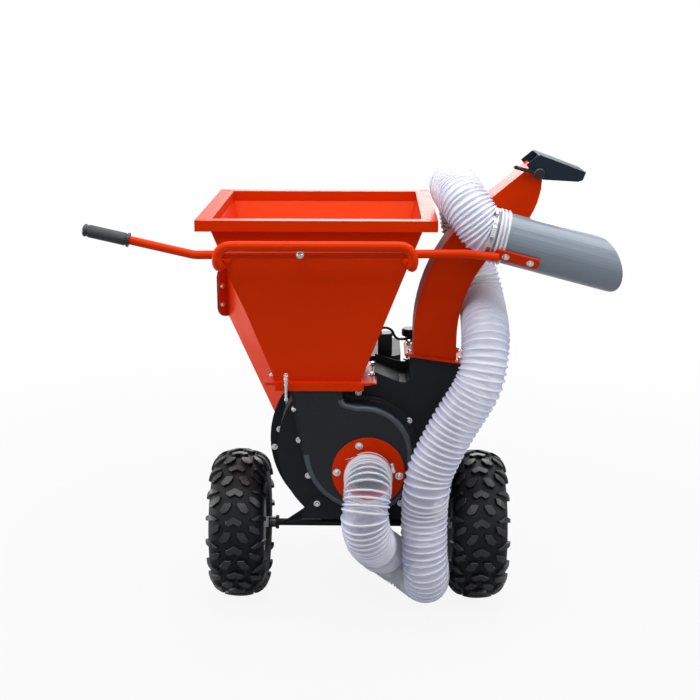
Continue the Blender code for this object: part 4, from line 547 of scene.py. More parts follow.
wire_tree, wire_in, wire_out = new_tree("wire_along_line", [
    ("Radius", "NodeSocketFloat", 0.001), ("Sides", "NodeSocketInt", 6), ("Material", "NodeSocketMaterial", None)])
to_curve = add_node(wire_tree, "GeometryNodeMeshToCurve", {"Mesh": wire_in.outputs["Geometry"]})
circle = add_node(wire_tree, "GeometryNodeCurvePrimitiveCircle", {
    "Radius": wire_in.outputs["Radius"], "Resolution": wire_in.outputs["Sides"]})
sweep = add_node(wire_tree, "GeometryNodeCurveToMesh", {
    "Curve": to_curve.outputs[0], "Profile Curve": circle.outputs[0], "Fill Caps": True})
close_tree(wire_tree, wire_in, wire_out, sweep.outputs[0])
print("nodes in the wire tree:", len(wire_tree.nodes))


# %% [markdown]
# A tree works as a modifier, but the finished piece must be a plain mesh. So a seed object carries the modifier,
# the inputs are set by their identifiers, and the result is copied into a mesh of its own before the seed goes.
# Many small pieces of this machine are wires along lines, so one call makes such a piece with its material and
# fixes it to the machine.


# %% Run a tree and keep its plain mesh
def grown(name, mesh, tree, values, sharp=40):
    """Put the mesh through the tree with the given inputs and return the result as a plain object."""
    seed = bpy.data.objects.new(name + "_seed", mesh)
    bpy.context.scene.collection.objects.link(seed)
    step = seed.modifiers.new("tree", "NODES")
    step.node_group = tree
    for item in tree.interface.items_tree:
        if item.item_type == "SOCKET" and item.in_out == "INPUT" and item.name in values:
            step[item.identifier] = values[item.name]
    ready = seed.evaluated_get(bpy.context.evaluated_depsgraph_get())
    plain = bpy.data.meshes.new_from_object(ready)
    plain.name = name
    bpy.data.objects.remove(seed)
    plain.shade_smooth()
    plain.set_sharp_from_angle(angle=math.radians(sharp))
    obj = bpy.data.objects.new(name, plain)
    bpy.context.scene.collection.objects.link(obj)
    return obj


def fit(piece, body):
    """Fix a finished piece to a body of the machine."""
    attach(piece, body)
    return piece


def lines_mesh(name, lines, closed=False):
    """A mesh of edges through the points of one or more separate lines."""
    mesh = bpy.data.meshes.new(name)
    points, edges = [], []
    for line in lines:
        first, last = len(points), len(points) + len(line) - 1
        points += [tuple(p) for p in line]
        edges += [(i, i + 1) for i in range(first, last)] + ([(last, first)] if closed else [])
    mesh.from_pydata(points, edges, [])
    return mesh


def wire(name, lines, thick, sides, material, closed=False, sharp=80):
    """A wire of the given radius along each line, as one piece on the chassis."""
    piece = grown(name, lines_mesh(name + "_line", lines, closed), wire_tree,
                  {"Radius": thick, "Sides": sides, "Material": material}, sharp)
    return fit(piece, "chassis")


# %% Hose rib
RIB_WIRE = 0.0026
RIB_STEPS = 30
RIB_END = 0.15
RIB_INSET = 0.0003
rib_turns = np.linspace(RIB_END, turns[-1] - RIB_END, int((turns[-1] - 2 * RIB_END) * RIB_STEPS))
rib_run = np.interp(rib_turns, turns, fine)


def at_run(values, where):
    """Values of the rings, read between them."""
    return np.stack([np.interp(where, ring_run, values[:, k]) for k in range(3)], axis=1)


rib_angle = 2 * np.pi * rib_turns
rib_radius = HOSE_DIAMETER / 2 - RIB_WIRE - RIB_INSET
rib_points = (at_run(centres, rib_run) + rib_radius * (
    at_run(side, rib_run) * np.cos(rib_angle)[:, None] + at_run(up, rib_run) * np.sin(rib_angle)[:, None]))
hose_wire = wire("hose_rib", [rib_points], RIB_WIRE, 6, hose_rib)
fit(hose, "chassis")
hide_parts("suction_hose")
print("rib faces", len(hose_wire.data.polygons))

# %% [markdown]
# ## Tyres
#
# A garden tyre has a smooth carcass and a deep, open tread that grips grass. The tread repeats sixteen times
# round the wheel. So one pitch of it is drawn flat, as seven outlines in millimetres, across the tyre and along
# it. Each outline is cut into small cells, bent over the carcass and given its height. Geometry Nodes then repeat
# the pitch round the axle.


# %% Geometry Nodes: repeat a shape round an axis
ring_tree, ring_in, ring_out = new_tree("repeat_round_axis", [
    ("Count", "NodeSocketInt", 16), ("Centre", "NodeSocketVector", None), ("Axis", "NodeSocketVector", None),
    ("Material", "NodeSocketMaterial", None)])
ring_of = ring_in.outputs
spots = add_node(ring_tree, "GeometryNodePoints", {"Count": ring_of["Count"], "Position": ring_of["Centre"]})
order = add_node(ring_tree, "GeometryNodeInputIndex")
step_angle = add_node(ring_tree, "ShaderNodeMath", {0: 2 * math.pi, 1: ring_of["Count"]}, operation="DIVIDE")
own_angle = add_node(ring_tree, "ShaderNodeMath", {0: step_angle.outputs[0], 1: order.outputs[0]},
                     operation="MULTIPLY")
turned_by = add_node(ring_tree, "FunctionNodeAxisAngleToRotation", {
    "Axis": ring_of["Axis"], "Angle": own_angle.outputs[0]})
copies = add_node(ring_tree, "GeometryNodeInstanceOnPoints", {
    "Points": spots.outputs[0], "Instance": ring_of["Geometry"], "Rotation": turned_by.outputs[0]})
close_tree(ring_tree, ring_in, ring_out, copies.outputs[0])
print("nodes in the ring tree:", len(ring_tree.nodes))


def repeated(name, mesh, count, centre, axis, material, sharp=30):
    """Copies of a mesh, drawn about the origin, set evenly round an axis."""
    return grown(name, mesh, ring_tree, {
        "Count": count, "Centre": tuple(centre), "Axis": tuple(map(float, axis)), "Material": material}, sharp)


# %% [markdown]
# A tyre, a clamp band, a knob and a cap are all turned parts: one closed outline, carried once round an axis. A
# Screw modifier can do that too. Here the rings of points are worked out directly, so the last ring joins the first
# without a seam. Points that meet on the axis are merged, and the faces are turned outwards last.


# %% Closed shapes turned round an axis
def made_whole(mesh):
    """Merge doubled points and turn every face outwards."""
    bm = bmesh.new()
    bm.from_mesh(mesh)
    bmesh.ops.remove_doubles(bm, verts=bm.verts, dist=1e-6)
    bmesh.ops.recalc_face_normals(bm, faces=bm.faces)
    bm.to_mesh(mesh)
    bm.free()
    return mesh


def revolved(name, profile, centre, axis, material, steps=64, sharp=35):
    """A closed profile of (radius, distance along the axis) pairs, turned once round the axis."""
    axis = Vector(axis).normalized()
    across = axis.orthogonal().normalized()
    spin = np.arange(steps) / steps * 2 * np.pi
    spoke = np.outer(np.cos(spin), across) + np.outer(np.sin(spin), axis.cross(across))
    rows = np.array(profile, float)
    points = np.array(centre) + rows[None, :, :1] * spoke[:, None] + rows[None, :, 1:] * np.array(axis)
    width = len(rows)
    i, j = np.meshgrid(np.arange(steps), np.arange(width), indexing="ij")
    a, b = (i + 1) % steps, (j + 1) % width
    faces = np.stack([i * width + j, a * width + j, a * width + b, i * width + b], -1).reshape(-1, 4)
    mesh = bpy.data.meshes.new(name)
    mesh.from_pydata(points.reshape(-1, 3).tolist(), [], faces.tolist())
    return linked(made_whole(mesh), name, material, sharp)


# %% [markdown]
# Half of the carcass's section is a short list of points, as radii and as fractions of the tyre's half width, from
# the middle of the tread down to the rim. A curve smooths them. The curve's length is also the ruler for the flat
# drawing of the tread: a distance across it is a distance along this curve. Two fine raised bands run round the
# side wall, as on many tyres.

# %% Carcass
TYRE_RADIUS = 0.1775
TYRE_HALF = 0.0665
TRACK = 0.567
WALL = 0.007
BEAD_RADIUS = 0.0806
BAND_RADII, BAND_WIDTH, BAND_HEIGHT = (0.127, 0.101), 0.0016, 0.0007
crown = [(0.1697, 0.0), (0.1690, 0.25), (0.1635, 0.60), (0.1530, 0.82), (0.1370, 0.945), (0.1170, 0.965),
         (0.0980, 0.915), (0.0865, 0.80), (BEAD_RADIUS, 0.76)]
half_line = smooth_line([(k * TYRE_HALF, r) for r, k in crown], 5)
half_run = run_of(half_line)
slope = np.gradient(half_line, axis=0)
half_normal = np.stack([-slope[:, 1], slope[:, 0]], 1) / np.linalg.norm(slope, axis=1)[:, None]


def tyre_point(across, onward, height):
    """A point of the tread, from its place on the flat drawing, bent over the carcass."""
    x, r = (np.interp(abs(across), half_run, half_line[:, k]) for k in (0, 1))
    nx, nr = (np.interp(abs(across), half_run, half_normal[:, k]) for k in (0, 1))
    reach, a = r + nr * height, onward / TYRE_RADIUS
    return (math.copysign(x + nx * height, across), -reach * math.cos(a), reach * math.sin(a))


bands = BAND_HEIGHT * sum(np.exp(-((half_line[:, 1] - r) / BAND_WIDTH) ** 2) for r in BAND_RADII)
outside = half_line + half_normal * bands[:, None]
inside = half_line[::-1] - half_normal[::-1] * WALL
right_half = [(r, x) for x, r in outside] + [(max(r, BEAD_RADIUS), x) for x, r in inside]
left_half = [(r, -x) for x, r in outside[::-1]], [(max(r, BEAD_RADIUS), -x) for x, r in inside[::-1]]
carcass = left_half[0] + right_half[1:] + left_half[1][1:]
print("tread drawn over", round(1000 * float(half_run[-1])), "mm each side, profile points", len(carcass))

# %% One pitch of tread
PITCH_LUGS = [[(0, 12), (19, 1), (19, -6), (12, -12), (0, -5), (-12, -12), (-19, -6), (-19, 1)]]
for lug_side in (1, -1):
    for outline in (
        [(7, -25), (22, -25), (34, -44), (27, -52), (15, -48), (6, -32)],
        [(32, -8), (39, -7), (56, -18), (60, -32), (52, -34), (35, -22)],
        [(37, 6), (55, 18), (85, 15), (85, 3), (41, 2)],
    ):
        PITCH_LUGS.append([(lug_side * s, t) for s, t in outline])
LUG_HEIGHT = 0.0078
SHOULDER_FROM, SHOULDER_SHARE = 0.045, 0.85
CELL = 0.0085
CELL_LINES = 11


def lug_cells(outline):
    """The outline as a flat face, cut into cells."""
    flat = bmesh.new()
    flat.faces.new([flat.verts.new((s / 1000, t / 1000, 0)) for s, t in outline])
    for k in range(-CELL_LINES, CELL_LINES + 1):
        for normal in ((1, 0, 0), (0, 1, 0)):
            bmesh.ops.bisect_plane(flat, geom=flat.verts[:] + flat.edges[:] + flat.faces[:],
                                   plane_co=[k * CELL * n for n in normal], plane_no=normal)
    flat.verts.index_update()
    return flat


def lug_block(bm, outline):
    """Add one closed block of tread, a little smaller at the top, with a softened edge."""
    flat = lug_cells(outline)
    middle = sum((v.co for v in flat.verts), Vector()) / len(flat.verts)
    height = LUG_HEIGHT if abs(middle.x) < SHOULDER_FROM else LUG_HEIGHT * SHOULDER_SHARE

    def level(scale, h):
        return [bm.verts.new(tyre_point(*(middle + (v.co - middle) * scale).xy, h)) for v in flat.verts]

    foot, shoulder, top = level(1.04, -0.001), level(0.97, height * 0.86), level(0.90, height)
    for face in flat.faces:
        ids = [v.index for v in face.verts]
        bm.faces.new([top[i] for i in ids])
        bm.faces.new([foot[i] for i in reversed(ids)])
    for edge in flat.edges:
        if len(edge.link_faces) == 1:
            a, b = (v.index for v in edge.verts)
            bm.faces.new([foot[a], foot[b], shoulder[b], shoulder[a]])
            bm.faces.new([shoulder[a], shoulder[b], top[b], top[a]])
    for v in [v for v in shoulder if not v.link_faces]:
        bm.verts.remove(v)
    flat.free()


bm = bmesh.new()
for outline in PITCH_LUGS:
    lug_block(bm, outline)
bmesh.ops.recalc_face_normals(bm, faces=bm.faces)
pitch_mesh = bpy.data.meshes.new("tread_pitch")
bm.to_mesh(pitch_mesh)
bm.free()
print("faces in one pitch", len(pitch_mesh.polygons))

# %% Both tyres
TREAD_PITCHES = 16
for name, x_side in (("left", -1), ("right", 1)):
    hub_point = place(x_side * TRACK / 2, 0, TYRE_RADIUS)
    # The carcass wears the darker rubber, which is painted shade in the grooves.
    tyre = revolved(f"tyre_carcass_{name}", carcass, hub_point, (1, 0, 0), groove_shade_black, steps=96)
    lugs = repeated(f"tyre_lugs_{name}", pitch_mesh.copy(), TREAD_PITCHES, hub_point, (1, 0, 0), tyre_black,
                    sharp=22)
    for piece in (tyre, lugs):
        fit(piece, f"wheel_{name}")
    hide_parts(f"tyre_{name}")
    print("lug faces on the", name, "tyre:", len(lugs.data.polygons))

# %% [markdown]
# ## Fasteners
#
# The machine is sheet metal, so it is held by dozens of small screws. They all follow one rule: a washer, a head
# with six sides or a round one, and a crown that narrows. One tree builds that head from its named sizes and sets
# a copy on every point, turned to face the way that the point's own attribute says.

# %% Geometry Nodes: heads on points
bolt_tree, bolt_in, bolt_out = new_tree("heads_on_points", [
    ("Head Radius", "NodeSocketFloat", 0.005), ("Head Height", "NodeSocketFloat", 0.003),
    ("Sides", "NodeSocketInt", 6), ("Crown", "NodeSocketFloat", 0.8), ("Washer Radius", "NodeSocketFloat", 0.007),
    ("Washer Height", "NodeSocketFloat", 0.001), ("Material", "NodeSocketMaterial", None)])
size_of = bolt_in.outputs


def sum_node(operation, first, second):
    """The result of one sum in the tree."""
    return add_node(bolt_tree, "ShaderNodeMath", {0: first, 1: second}, operation=operation).outputs[0]


half_washer = sum_node("MULTIPLY", size_of["Washer Height"], 0.5)
half_head = sum_node("MULTIPLY", size_of["Head Height"], 0.5)
head_mid = sum_node("ADD", half_head, size_of["Washer Height"])
head_top = sum_node("ADD", size_of["Head Height"], size_of["Washer Height"])
crown_radius = sum_node("MULTIPLY", size_of["Head Radius"], size_of["Crown"])
washer = add_node(bolt_tree, "GeometryNodeMeshCylinder", {
    "Vertices": 18, "Radius": size_of["Washer Radius"], "Depth": size_of["Washer Height"]})
head = add_node(bolt_tree, "GeometryNodeMeshCylinder", {
    "Vertices": size_of["Sides"], "Radius": size_of["Head Radius"], "Depth": size_of["Head Height"]})
top = add_node(bolt_tree, "GeometryNodeMeshCone", {
    "Vertices": size_of["Sides"], "Radius Bottom": size_of["Head Radius"], "Radius Top": crown_radius,
    "Depth": half_head})
joined = add_node(bolt_tree, "GeometryNodeJoinGeometry")
for part, lift in ((washer, half_washer), (head, head_mid), (top, head_top)):
    raised_by = add_node(bolt_tree, "ShaderNodeCombineXYZ", {"Z": lift})
    raised = add_node(bolt_tree, "GeometryNodeTransform", {
        "Geometry": part.outputs["Mesh"], "Translation": raised_by.outputs[0]})
    bolt_tree.links.new(raised.outputs[0], joined.inputs[0])
facing_way = add_node(bolt_tree, "GeometryNodeInputNamedAttribute", {"Name": "facing"}, data_type="FLOAT_VECTOR")
aligned = add_node(bolt_tree, "FunctionNodeAlignRotationToVector", {"Vector": facing_way.outputs["Attribute"]},
                   axis="Z")
set_heads = add_node(bolt_tree, "GeometryNodeInstanceOnPoints", {
    "Points": size_of["Geometry"], "Instance": joined.outputs[0], "Rotation": aligned.outputs[0]})
close_tree(bolt_tree, bolt_in, bolt_out, set_heads.outputs[0])
print("nodes in the screw tree:", len(bolt_tree.nodes))


def heads(name, body, points, material=zinc, radius=0.0052, height=0.0030, sides=6,
          crown=0.82, washer=0.0075, washer_height=0.0010):
    """Screw heads on (point, facing) pairs, as one piece that rides on a body."""
    mesh = bpy.data.meshes.new(name + "_points")
    mesh.from_pydata([tuple(place(*p)) for p, _ in points], [], [])
    ways = mesh.attributes.new("facing", "FLOAT_VECTOR", "POINT")
    ways.data.foreach_set("vector", np.array([Vector(n).normalized() for _, n in points]).ravel())
    piece = grown(name, mesh, bolt_tree, {
        "Head Radius": radius, "Head Height": height, "Sides": sides, "Crown": crown, "Washer Radius": washer,
        "Washer Height": washer_height, "Material": material}, sharp=30)
    fit(piece, body)


# %% Screws of the housing and the hopper
FRONT, BACK, UP = (0, -1, 0), (0, 1, 0), (0, 0, 1)
COVER_LIP_Y, REAR_LIP_Y, INLET_Y, BRACKET_Y, BASE_TOP_Z = -0.0865, 0.0178, -0.1432, -0.0885, 0.5718
cover_screws = [(-0.1461, 0.4928), (-0.1364, 0.4177), (-0.1159, 0.3304), (0.0010, 0.5320), (0.1168, 0.4665)]
rear_screws = [(-0.2021, 0.3638), (-0.1666, 0.4737), (-0.1894, 0.4084)]
inlet_screws = [(0.0029, 0.4236), (-0.0478, 0.3597), (0.0945, 0.3521), (0.0512, 0.2933)]
base_screws = [(-0.1959, -0.0845), (-0.1975, 0.0136), (0.0308, -0.0735), (0.0325, 0.0136)]
bracket_screws = [(-0.0959, 0.2611), (0.0995, 0.2639)]
heads("cover_screws", "chassis", [((x, COVER_LIP_Y, z), FRONT) for x, z in cover_screws])
heads("rear_flange_screws", "chassis", [((x, REAR_LIP_Y, z), FRONT) for x, z in rear_screws], radius=0.0045)
heads("inlet_screws", "chassis", [((x, INLET_Y, z), FRONT) for x, z in inlet_screws], sides=16, crown=0.55,
      height=0.0026, radius=0.0058, washer=0.0088)
heads("hopper_base_screws", "chassis", [((x, y, BASE_TOP_Z), UP) for x, y in base_screws], radius=0.0055)
heads("bracket_screws", "chassis", [((x, BRACKET_Y, z), FRONT) for x, z in bracket_screws], radius=0.0055)
heads("wand_bolt", "chassis", [((-0.1224, -0.2075, 0.8745), FRONT)], radius=0.0058, washer=0.0085, sides=16,
      crown=0.6, height=0.0035)
print("screws in the housing:", sum(map(len, (cover_screws, rear_screws, inlet_screws, base_screws, bracket_screws))))

# %% [markdown]
# The discharge chute stands on a flange that leans by about eight degrees, and the wand's plate lies against the
# side of a round pipe. Screws there can't be placed by looking at X, Y and Z alone. So each of the two places gets
# a small function that turns a distance along the flange, or an angle round the pipe, into a point.

# %% Screws of the chute flange, the wand and the wheels
CHUTE_TILT = math.radians(8.3)
CHUTE_FOOT_X, CHUTE_FOOT_Z = 0.1728, 0.6143
WEB_OUT, BOLT_RING, VALVE_UP = 0.0169, 0.046, 0.056
chute_up = Vector((math.sin(CHUTE_TILT), 0, math.cos(CHUTE_TILT)))


def on_chute_flange(across, y, lift):
    """A point over or under the chute's tilted base flange."""
    foot = Vector((CHUTE_FOOT_X + across * math.cos(CHUTE_TILT), y, CHUTE_FOOT_Z - across * math.sin(CHUTE_TILT)))
    return foot + chute_up * lift


flange_places = [(across, y) for across in (-0.0575, 0.0575) for y in (-0.080, 0.008)]
heads("chute_flange_screws", "chassis", [(on_chute_flange(a, y, 0.0025), chute_up) for a, y in flange_places],
      radius=0.0046, height=0.0045, washer=0.0064)
heads("chute_flange_nuts", "chassis", [(on_chute_flange(a, y, -0.0030), -chute_up) for a, y in flange_places],
      radius=0.0048, height=0.0045, washer=0.0064)
pipe_down = Vector((0, 1, 0)).cross(PIPE_AXIS)


def off_pipe(degrees, distance, run):
    """A point beside the pipe's axis, so many degrees below straight to the front, and the way out to it."""
    way = Vector((0, -1, 0)) * math.cos(math.radians(degrees)) + pipe_down * math.sin(math.radians(degrees))
    return PIPE_START - PLACE + PIPE_AXIS * run + way * distance, way


heads("wand_plate_screws", "chassis", [off_pipe(30, 0.0617, run) for run in (0.030, 0.084)], radius=0.0056,
      height=0.0032, sides=16, crown=0.6, washer=0.0080)
for name, x_side in (("left", -1), ("right", 1)):
    web = x_side * (TRACK / 2 + WEB_OUT)
    ring = [(BOLT_RING * math.cos(a), BOLT_RING * math.sin(a)) for a in (math.radians(45 + 90 * k) for k in range(4))]
    heads(f"wheel_bolts_{name}", f"wheel_{name}", [
        ((web, y, TYRE_RADIUS + z), (x_side, 0, 0)) for y, z in ring], radius=0.0065, height=0.005, washer=0.009)
    heads(f"tyre_valve_{name}", f"wheel_{name}", [((web, VALVE_UP, TYRE_RADIUS), (x_side, 0, 0))], rubber,
          radius=0.0040, height=0.022, sides=14, washer=0.0060, washer_height=0.004, crown=0.7)
print("screws and nuts in the chute flange:", 2 * len(flange_places))

# %% [markdown]
# ## Cuffs and clamps
#
# The last turns of the hose are pushed over the orange collar and over the end of the grey pipe, and a worm clamp
# holds each. A cuff is a short sleeve with the same sagging film and the same rib as the hose. A worm clamp is a
# thin steel band with slots punched along it, a small housing, a screw across it, and a tail of spare band.


# %% Cuffs
CUFF_RISE = 0.0085
CUFF_SAG = 0.7
CUFF_CUTS = 8


def cuff(name, start, axis, length, inner, outer, rise):
    """A short sleeve of hose wall between two radii, with its rib climbing by rise in each turn."""
    steps = int(length / rise * CUFF_CUTS)
    dip = (outer - inner) * CUFF_SAG
    skin = [(outer - dip * abs(math.sin(math.pi * k / rise)) ** SAG_SHAPE, k)
            for k in np.linspace(0, length, steps + 1)]
    sleeve = revolved(name, skin + [(inner, length), (inner, 0)], start, axis, hose_film, steps=48, sharp=80)
    axis = Vector(axis).normalized()
    a = axis.orthogonal().normalized()
    b = axis.cross(a)
    spin = np.linspace(0, 2 * math.pi * length / rise, int(RIB_STEPS * length / rise))
    coil = [Vector(start) + axis * (s / (2 * math.pi) * rise) + (a * math.cos(s) + b * math.sin(s)) * outer
            for s in spin]
    fit(sleeve, "chassis")
    wire(name + "_rib", [coil], RIB_WIRE, 6, hose_rib)
    print(name, "faces", len(sleeve.data.polygons))


cuff("inlet_cuff", place(0.0240, -0.1540, 0.3600), (0, -1, 0), 0.0335, 0.0506, 0.0525, CUFF_RISE)
cuff("pipe_cuff", PIPE_START + PIPE_AXIS * 0.0010, PIPE_AXIS, 0.0230, 0.0554, 0.0578, CUFF_RISE)


# %% Worm clamps
SQUARE = ((1, 0, 0), (0, 1, 0), (0, 0, 1))


def block_mesh(name, centre, axes, size, bevel=0.0):
    """A block with softened edges, its sides along three given directions."""
    bm = bmesh.new()
    bmesh.ops.create_cube(bm, size=1)
    for v in bm.verts:
        v.co = Vector([c * s for c, s in zip(v.co, size)])
    if bevel:
        bmesh.ops.bevel(bm, geom=bm.edges[:], offset=bevel, segments=2, affect="EDGES")
    turned = Matrix([Vector(a).normalized() for a in axes]).transposed()
    for v in bm.verts:
        v.co = Vector(centre) + turned @ v.co
    bmesh.ops.recalc_face_normals(bm, faces=bm.faces)
    mesh = bpy.data.meshes.new(name)
    bm.to_mesh(mesh)
    bm.free()
    return mesh


def rounded_block(name, centre, axes, size, material, body, bevel=0.0012):
    """The same block as a piece of its own, on a body."""
    fit(linked(block_mesh(name, centre, axes, size, bevel), name, material, 30), body)


BAND_THICK = 0.0009
BAND_EDGE = 0.0004
HOUSING_OUT = 0.0045
SLOT_COUNT, SLOT_LEAN = 90, 0.25


def worm_clamp(name, centre, axis, within, screw_way, tail_way=None, width=0.0090):
    """A slotted band round an axis, with its screw housing on one side and a loose tail on another."""
    axis = Vector(axis).normalized()
    outer = within + BAND_THICK
    band = revolved(name + "_band", [
        (within, -width / 2), (outer, -width / 2 + BAND_EDGE), (outer, width / 2 - BAND_EDGE), (within, width / 2)],
        centre, axis, band_steel, steps=72, sharp=40)
    out_way = axis.orthogonal().normalized()
    leaning = Matrix((axis, out_way.cross(axis), out_way)).transposed() @ Matrix.Rotation(SLOT_LEAN, 3, "Z")
    # The slots are not cut through the band. Each is a thin black block on it, painted shade where the band is open.
    slot_shade_mesh = block_mesh(name + "_slot", out_way * outer, leaning.transposed(), (width * 0.6, 0.0011, 0.0005))
    for piece in (band, repeated(name + "_slots", slot_shade_mesh, SLOT_COUNT, centre, axis, plastic)):
        fit(piece, "chassis")
    screw_way = (Vector(screw_way) - axis * Vector(screw_way).dot(axis)).normalized()
    along_way = axis.cross(screw_way)
    box_at = Vector(centre) + screw_way * (within + HOUSING_OUT)
    rounded_block(name + "_housing", box_at, (along_way, screw_way, axis), (0.013, 0.0075, width + 0.003),
                  band_steel, "chassis")
    heads(name + "_screw", "chassis", [(box_at + along_way * 0.0060 + screw_way * 0.0008 - PLACE, along_way)],
          radius=0.0042, height=0.0055, washer=0.0048, washer_height=0.0015)
    if tail_way:
        tip = Vector(tail_way)
        foot = Matrix.Rotation(-math.acos(outer / tip.length), 3, axis) @ tip.normalized() * outer
        rounded_block(name + "_tail", Vector(centre) + (foot + tip) / 2, (tip - foot, foot, axis),
                      ((tip - foot).length, BAND_THICK, width), band_steel, "chassis", bevel=0.0003)
    print(name, "round", round(2000 * within, 1), "mm")


worm_clamp("inlet_clamp", place(0.0240, -0.1700, 0.3600), (0, -1, 0), 0.0542,
           screw_way=(0.0623, 0, 0.0193), tail_way=(-0.0517, 0, 0.0421))
worm_clamp("pipe_clamp", PIPE_START - PIPE_AXIS * 0.0100, PIPE_AXIS, 0.0550, screw_way=(-0.2, -0.35, 0.9))

# %% [markdown]
# ## Handles and small hardware
#
# The grip is rubber with a diamond knurl. A knurl is two sets of slanted grooves that cross, so the root of the
# product of two sines, of the angle and of the length, gives the height of every point. The latch pin gets its
# coil spring.

# %% Knurled grip
GRIP_RADIUS = 0.0135
GRIP_LENGTH = 0.101
GRIP_AROUND = 72
KNURL_ROWS = 82
KNURL_DEPTH = 0.0014
KNURL_STARTS, KNURL_LEAN = 9, 520
WAND_BEND, WAND_END = (-0.3474, -0.1985, 0.8715), (-0.4860, -0.1985, 0.9030)
grip_way = (Vector(WAND_END) - Vector(WAND_BEND)).normalized()
grip_start = place(*WAND_END) + grip_way * SEAT_GAP
grip_run = np.concatenate([
    [0, 0, 0.0040, 0.0055], np.linspace(0.0075, 0.0880, KNURL_ROWS),
    [0.0900, 0.0912, 0.0930, 0.0950, 0.0975, 0.0995, GRIP_LENGTH, GRIP_LENGTH]])
collar = [0.0095, 0.0155, 0.0155, GRIP_RADIUS - 0.0004]
end_cap = [GRIP_RADIUS + step for step in (-0.0012, -0.0012, 0.0004, 0.0004, -0.0004, -0.0030, -0.0060)]
smooth_r = np.concatenate([collar, np.full(KNURL_ROWS, GRIP_RADIUS - 0.0010), end_cap, [0.0]])
around = np.arange(GRIP_AROUND) / GRIP_AROUND * 2 * np.pi
knurled = slice(len(collar) + 1, len(collar) + KNURL_ROWS - 1)
grooves = [np.sin(KNURL_STARTS * around[None] + way * grip_run[knurled, None] * KNURL_LEAN) for way in (1, -1)]
knurl = np.zeros((len(grip_run), GRIP_AROUND))
knurl[knurled] = KNURL_DEPTH * np.sqrt(np.abs(grooves[0] * grooves[1]))
grip_r = (smooth_r[:, None] + knurl)[..., None]
cross_a = np.array((0, 1.0, 0))
cross_b = np.cross(np.array(grip_way), cross_a)
skin = (np.array(grip_start) + grip_run[:, None, None] * np.array(grip_way)
        + grip_r * np.cos(around)[:, None] * cross_a + grip_r * np.sin(around)[:, None] * cross_b)
grip_mesh = bpy.data.meshes.new("knurled_grip")
first_cap = [tuple(range(GRIP_AROUND))]
grip_mesh.from_pydata(skin.reshape(-1, 3).tolist(), [], ring_skin(*skin.shape[:2]).tolist() + first_cap)
grip = linked(made_whole(grip_mesh), "knurled_grip", grip_rubber, 30)
fit(grip, "chassis")
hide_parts("wand_grip")
print("grip faces", len(grip_mesh.polygons))

# %% Latch spring
COILS, COIL_RADIUS, COIL_RISE = 9, 0.0048, 0.0034
SPRING_WIRE = 0.0006
PIN_X, PIN_Y, SPRING_Z = -0.160, -0.1508, 0.566
spring_spin = np.linspace(0, COILS * 2 * math.pi, COILS * 20)
spring_line = [place(PIN_X + COIL_RADIUS * math.cos(s), PIN_Y + COIL_RADIUS * math.sin(s),
                     SPRING_Z + COIL_RISE * s / (2 * math.pi)) for s in spring_spin]
wire("latch_spring", [spring_line], SPRING_WIRE, 6, zinc)
print("spring length", round(COILS * COIL_RISE * 1000), "mm")

# %% [markdown]
# ## Front cover's raised edge
#
# The front cover is pressed sheet. Its border is rolled into a bead that catches a long line of light, and that
# line is what shows the cover's shape on black paint. The bead follows the outline of the cover's flat front, so
# the outline is read from the CAD node instead of being typed in again. Corners that lie in one place are merged
# in a copy of the mesh first, and the CAD node itself is left alone. The bead is a wire that lies partly sunk, just
# inside the outline, and it leaves out the cover's top edge.

# %% Raised edge of the front cover
EDGE_RADIUS = 0.0070
EDGE_SEAT = 0.0048


def front_outline(name):
    """The outline of the flat front of a CAD node, in order, from a merged copy of its mesh."""
    bm = bmesh.new()
    bm.from_mesh(nodes[name].data)
    bmesh.ops.remove_doubles(bm, verts=bm.verts, dist=1e-6)
    level = min(v.co.y for v in bm.verts)
    edges = [e for e in bm.edges if all(abs(v.co.y - level) < 1e-5 for v in e.verts)
             and sorted(f.normal.y < -0.99 for f in e.link_faces) == [False, True]]
    step = {}
    for e in edges:
        for a, b in (e.verts, reversed(e.verts)):
            step.setdefault(a.index, []).append(b.index)
    where = {v.index: v.co.copy() for e in edges for v in e.verts}
    bm.free()
    loops = []
    while step:
        loop = [next(iter(step))]
        while True:
            onward = [i for i in step.pop(loop[-1]) if i in step]
            if not onward:
                break
            loop.append(onward[0])
        loops.append([where[i] for i in loop])
    return max(loops, key=lambda loop: max(p.x for p in loop) - min(p.x for p in loop))


cover_loop = np.array(front_outline("front_cover"))
sideways = np.roll(cover_loop, -1, axis=0) - np.roll(cover_loop, 1, axis=0)
inward = np.stack([-sideways[:, 2], np.zeros(len(cover_loop)), sideways[:, 0]], axis=1)
inward /= np.linalg.norm(inward, axis=1)[:, None]
if ((cover_loop.mean(axis=0) - cover_loop) * inward).sum() < 0:
    inward = -inward
bead = cover_loop + inward * EDGE_SEAT + np.array((0, EDGE_SEAT, 0))
below = bead[:, 2] < cover_loop[:, 2].max() - EDGE_RADIUS - EDGE_SEAT
first = next(i for i in range(len(bead)) if below[i] and not below[i - 1])
in_order = [(first + k) % len(bead) for k in range(len(bead))]
bead_line = [bead[i] for i in in_order if below[i]]
# The bead's lighter, bluer paint is a painted highlight along the cover's edge.
wire("cover_edge", [bead_line], EDGE_RADIUS, 16, edge_highlight_black)
print("cover edge points", len(bead_line))

# %% [markdown]
# ## Flange ear, clamp levers and weld lines
#
# These are small plates and blocks: the ear of the hopper's base flange that holds its two right screws, and the
# moulded paddles that make the deflector's clamp levers easy to turn. A paddle rides on its lever's body, so it
# turns with it. The welds are thin wires over the mitred corners of the hopper's rim.

# %% Ear of the hopper's base flange
rounded_block("hopper_base_ear", place(0.0360, -0.0500, BASE_TOP_Z - 0.0015), SQUARE, (0.0130, 0.1880, 0.0030),
              orange, "chassis", bevel=0.0013)
print("ear on the right of the hopper's base")

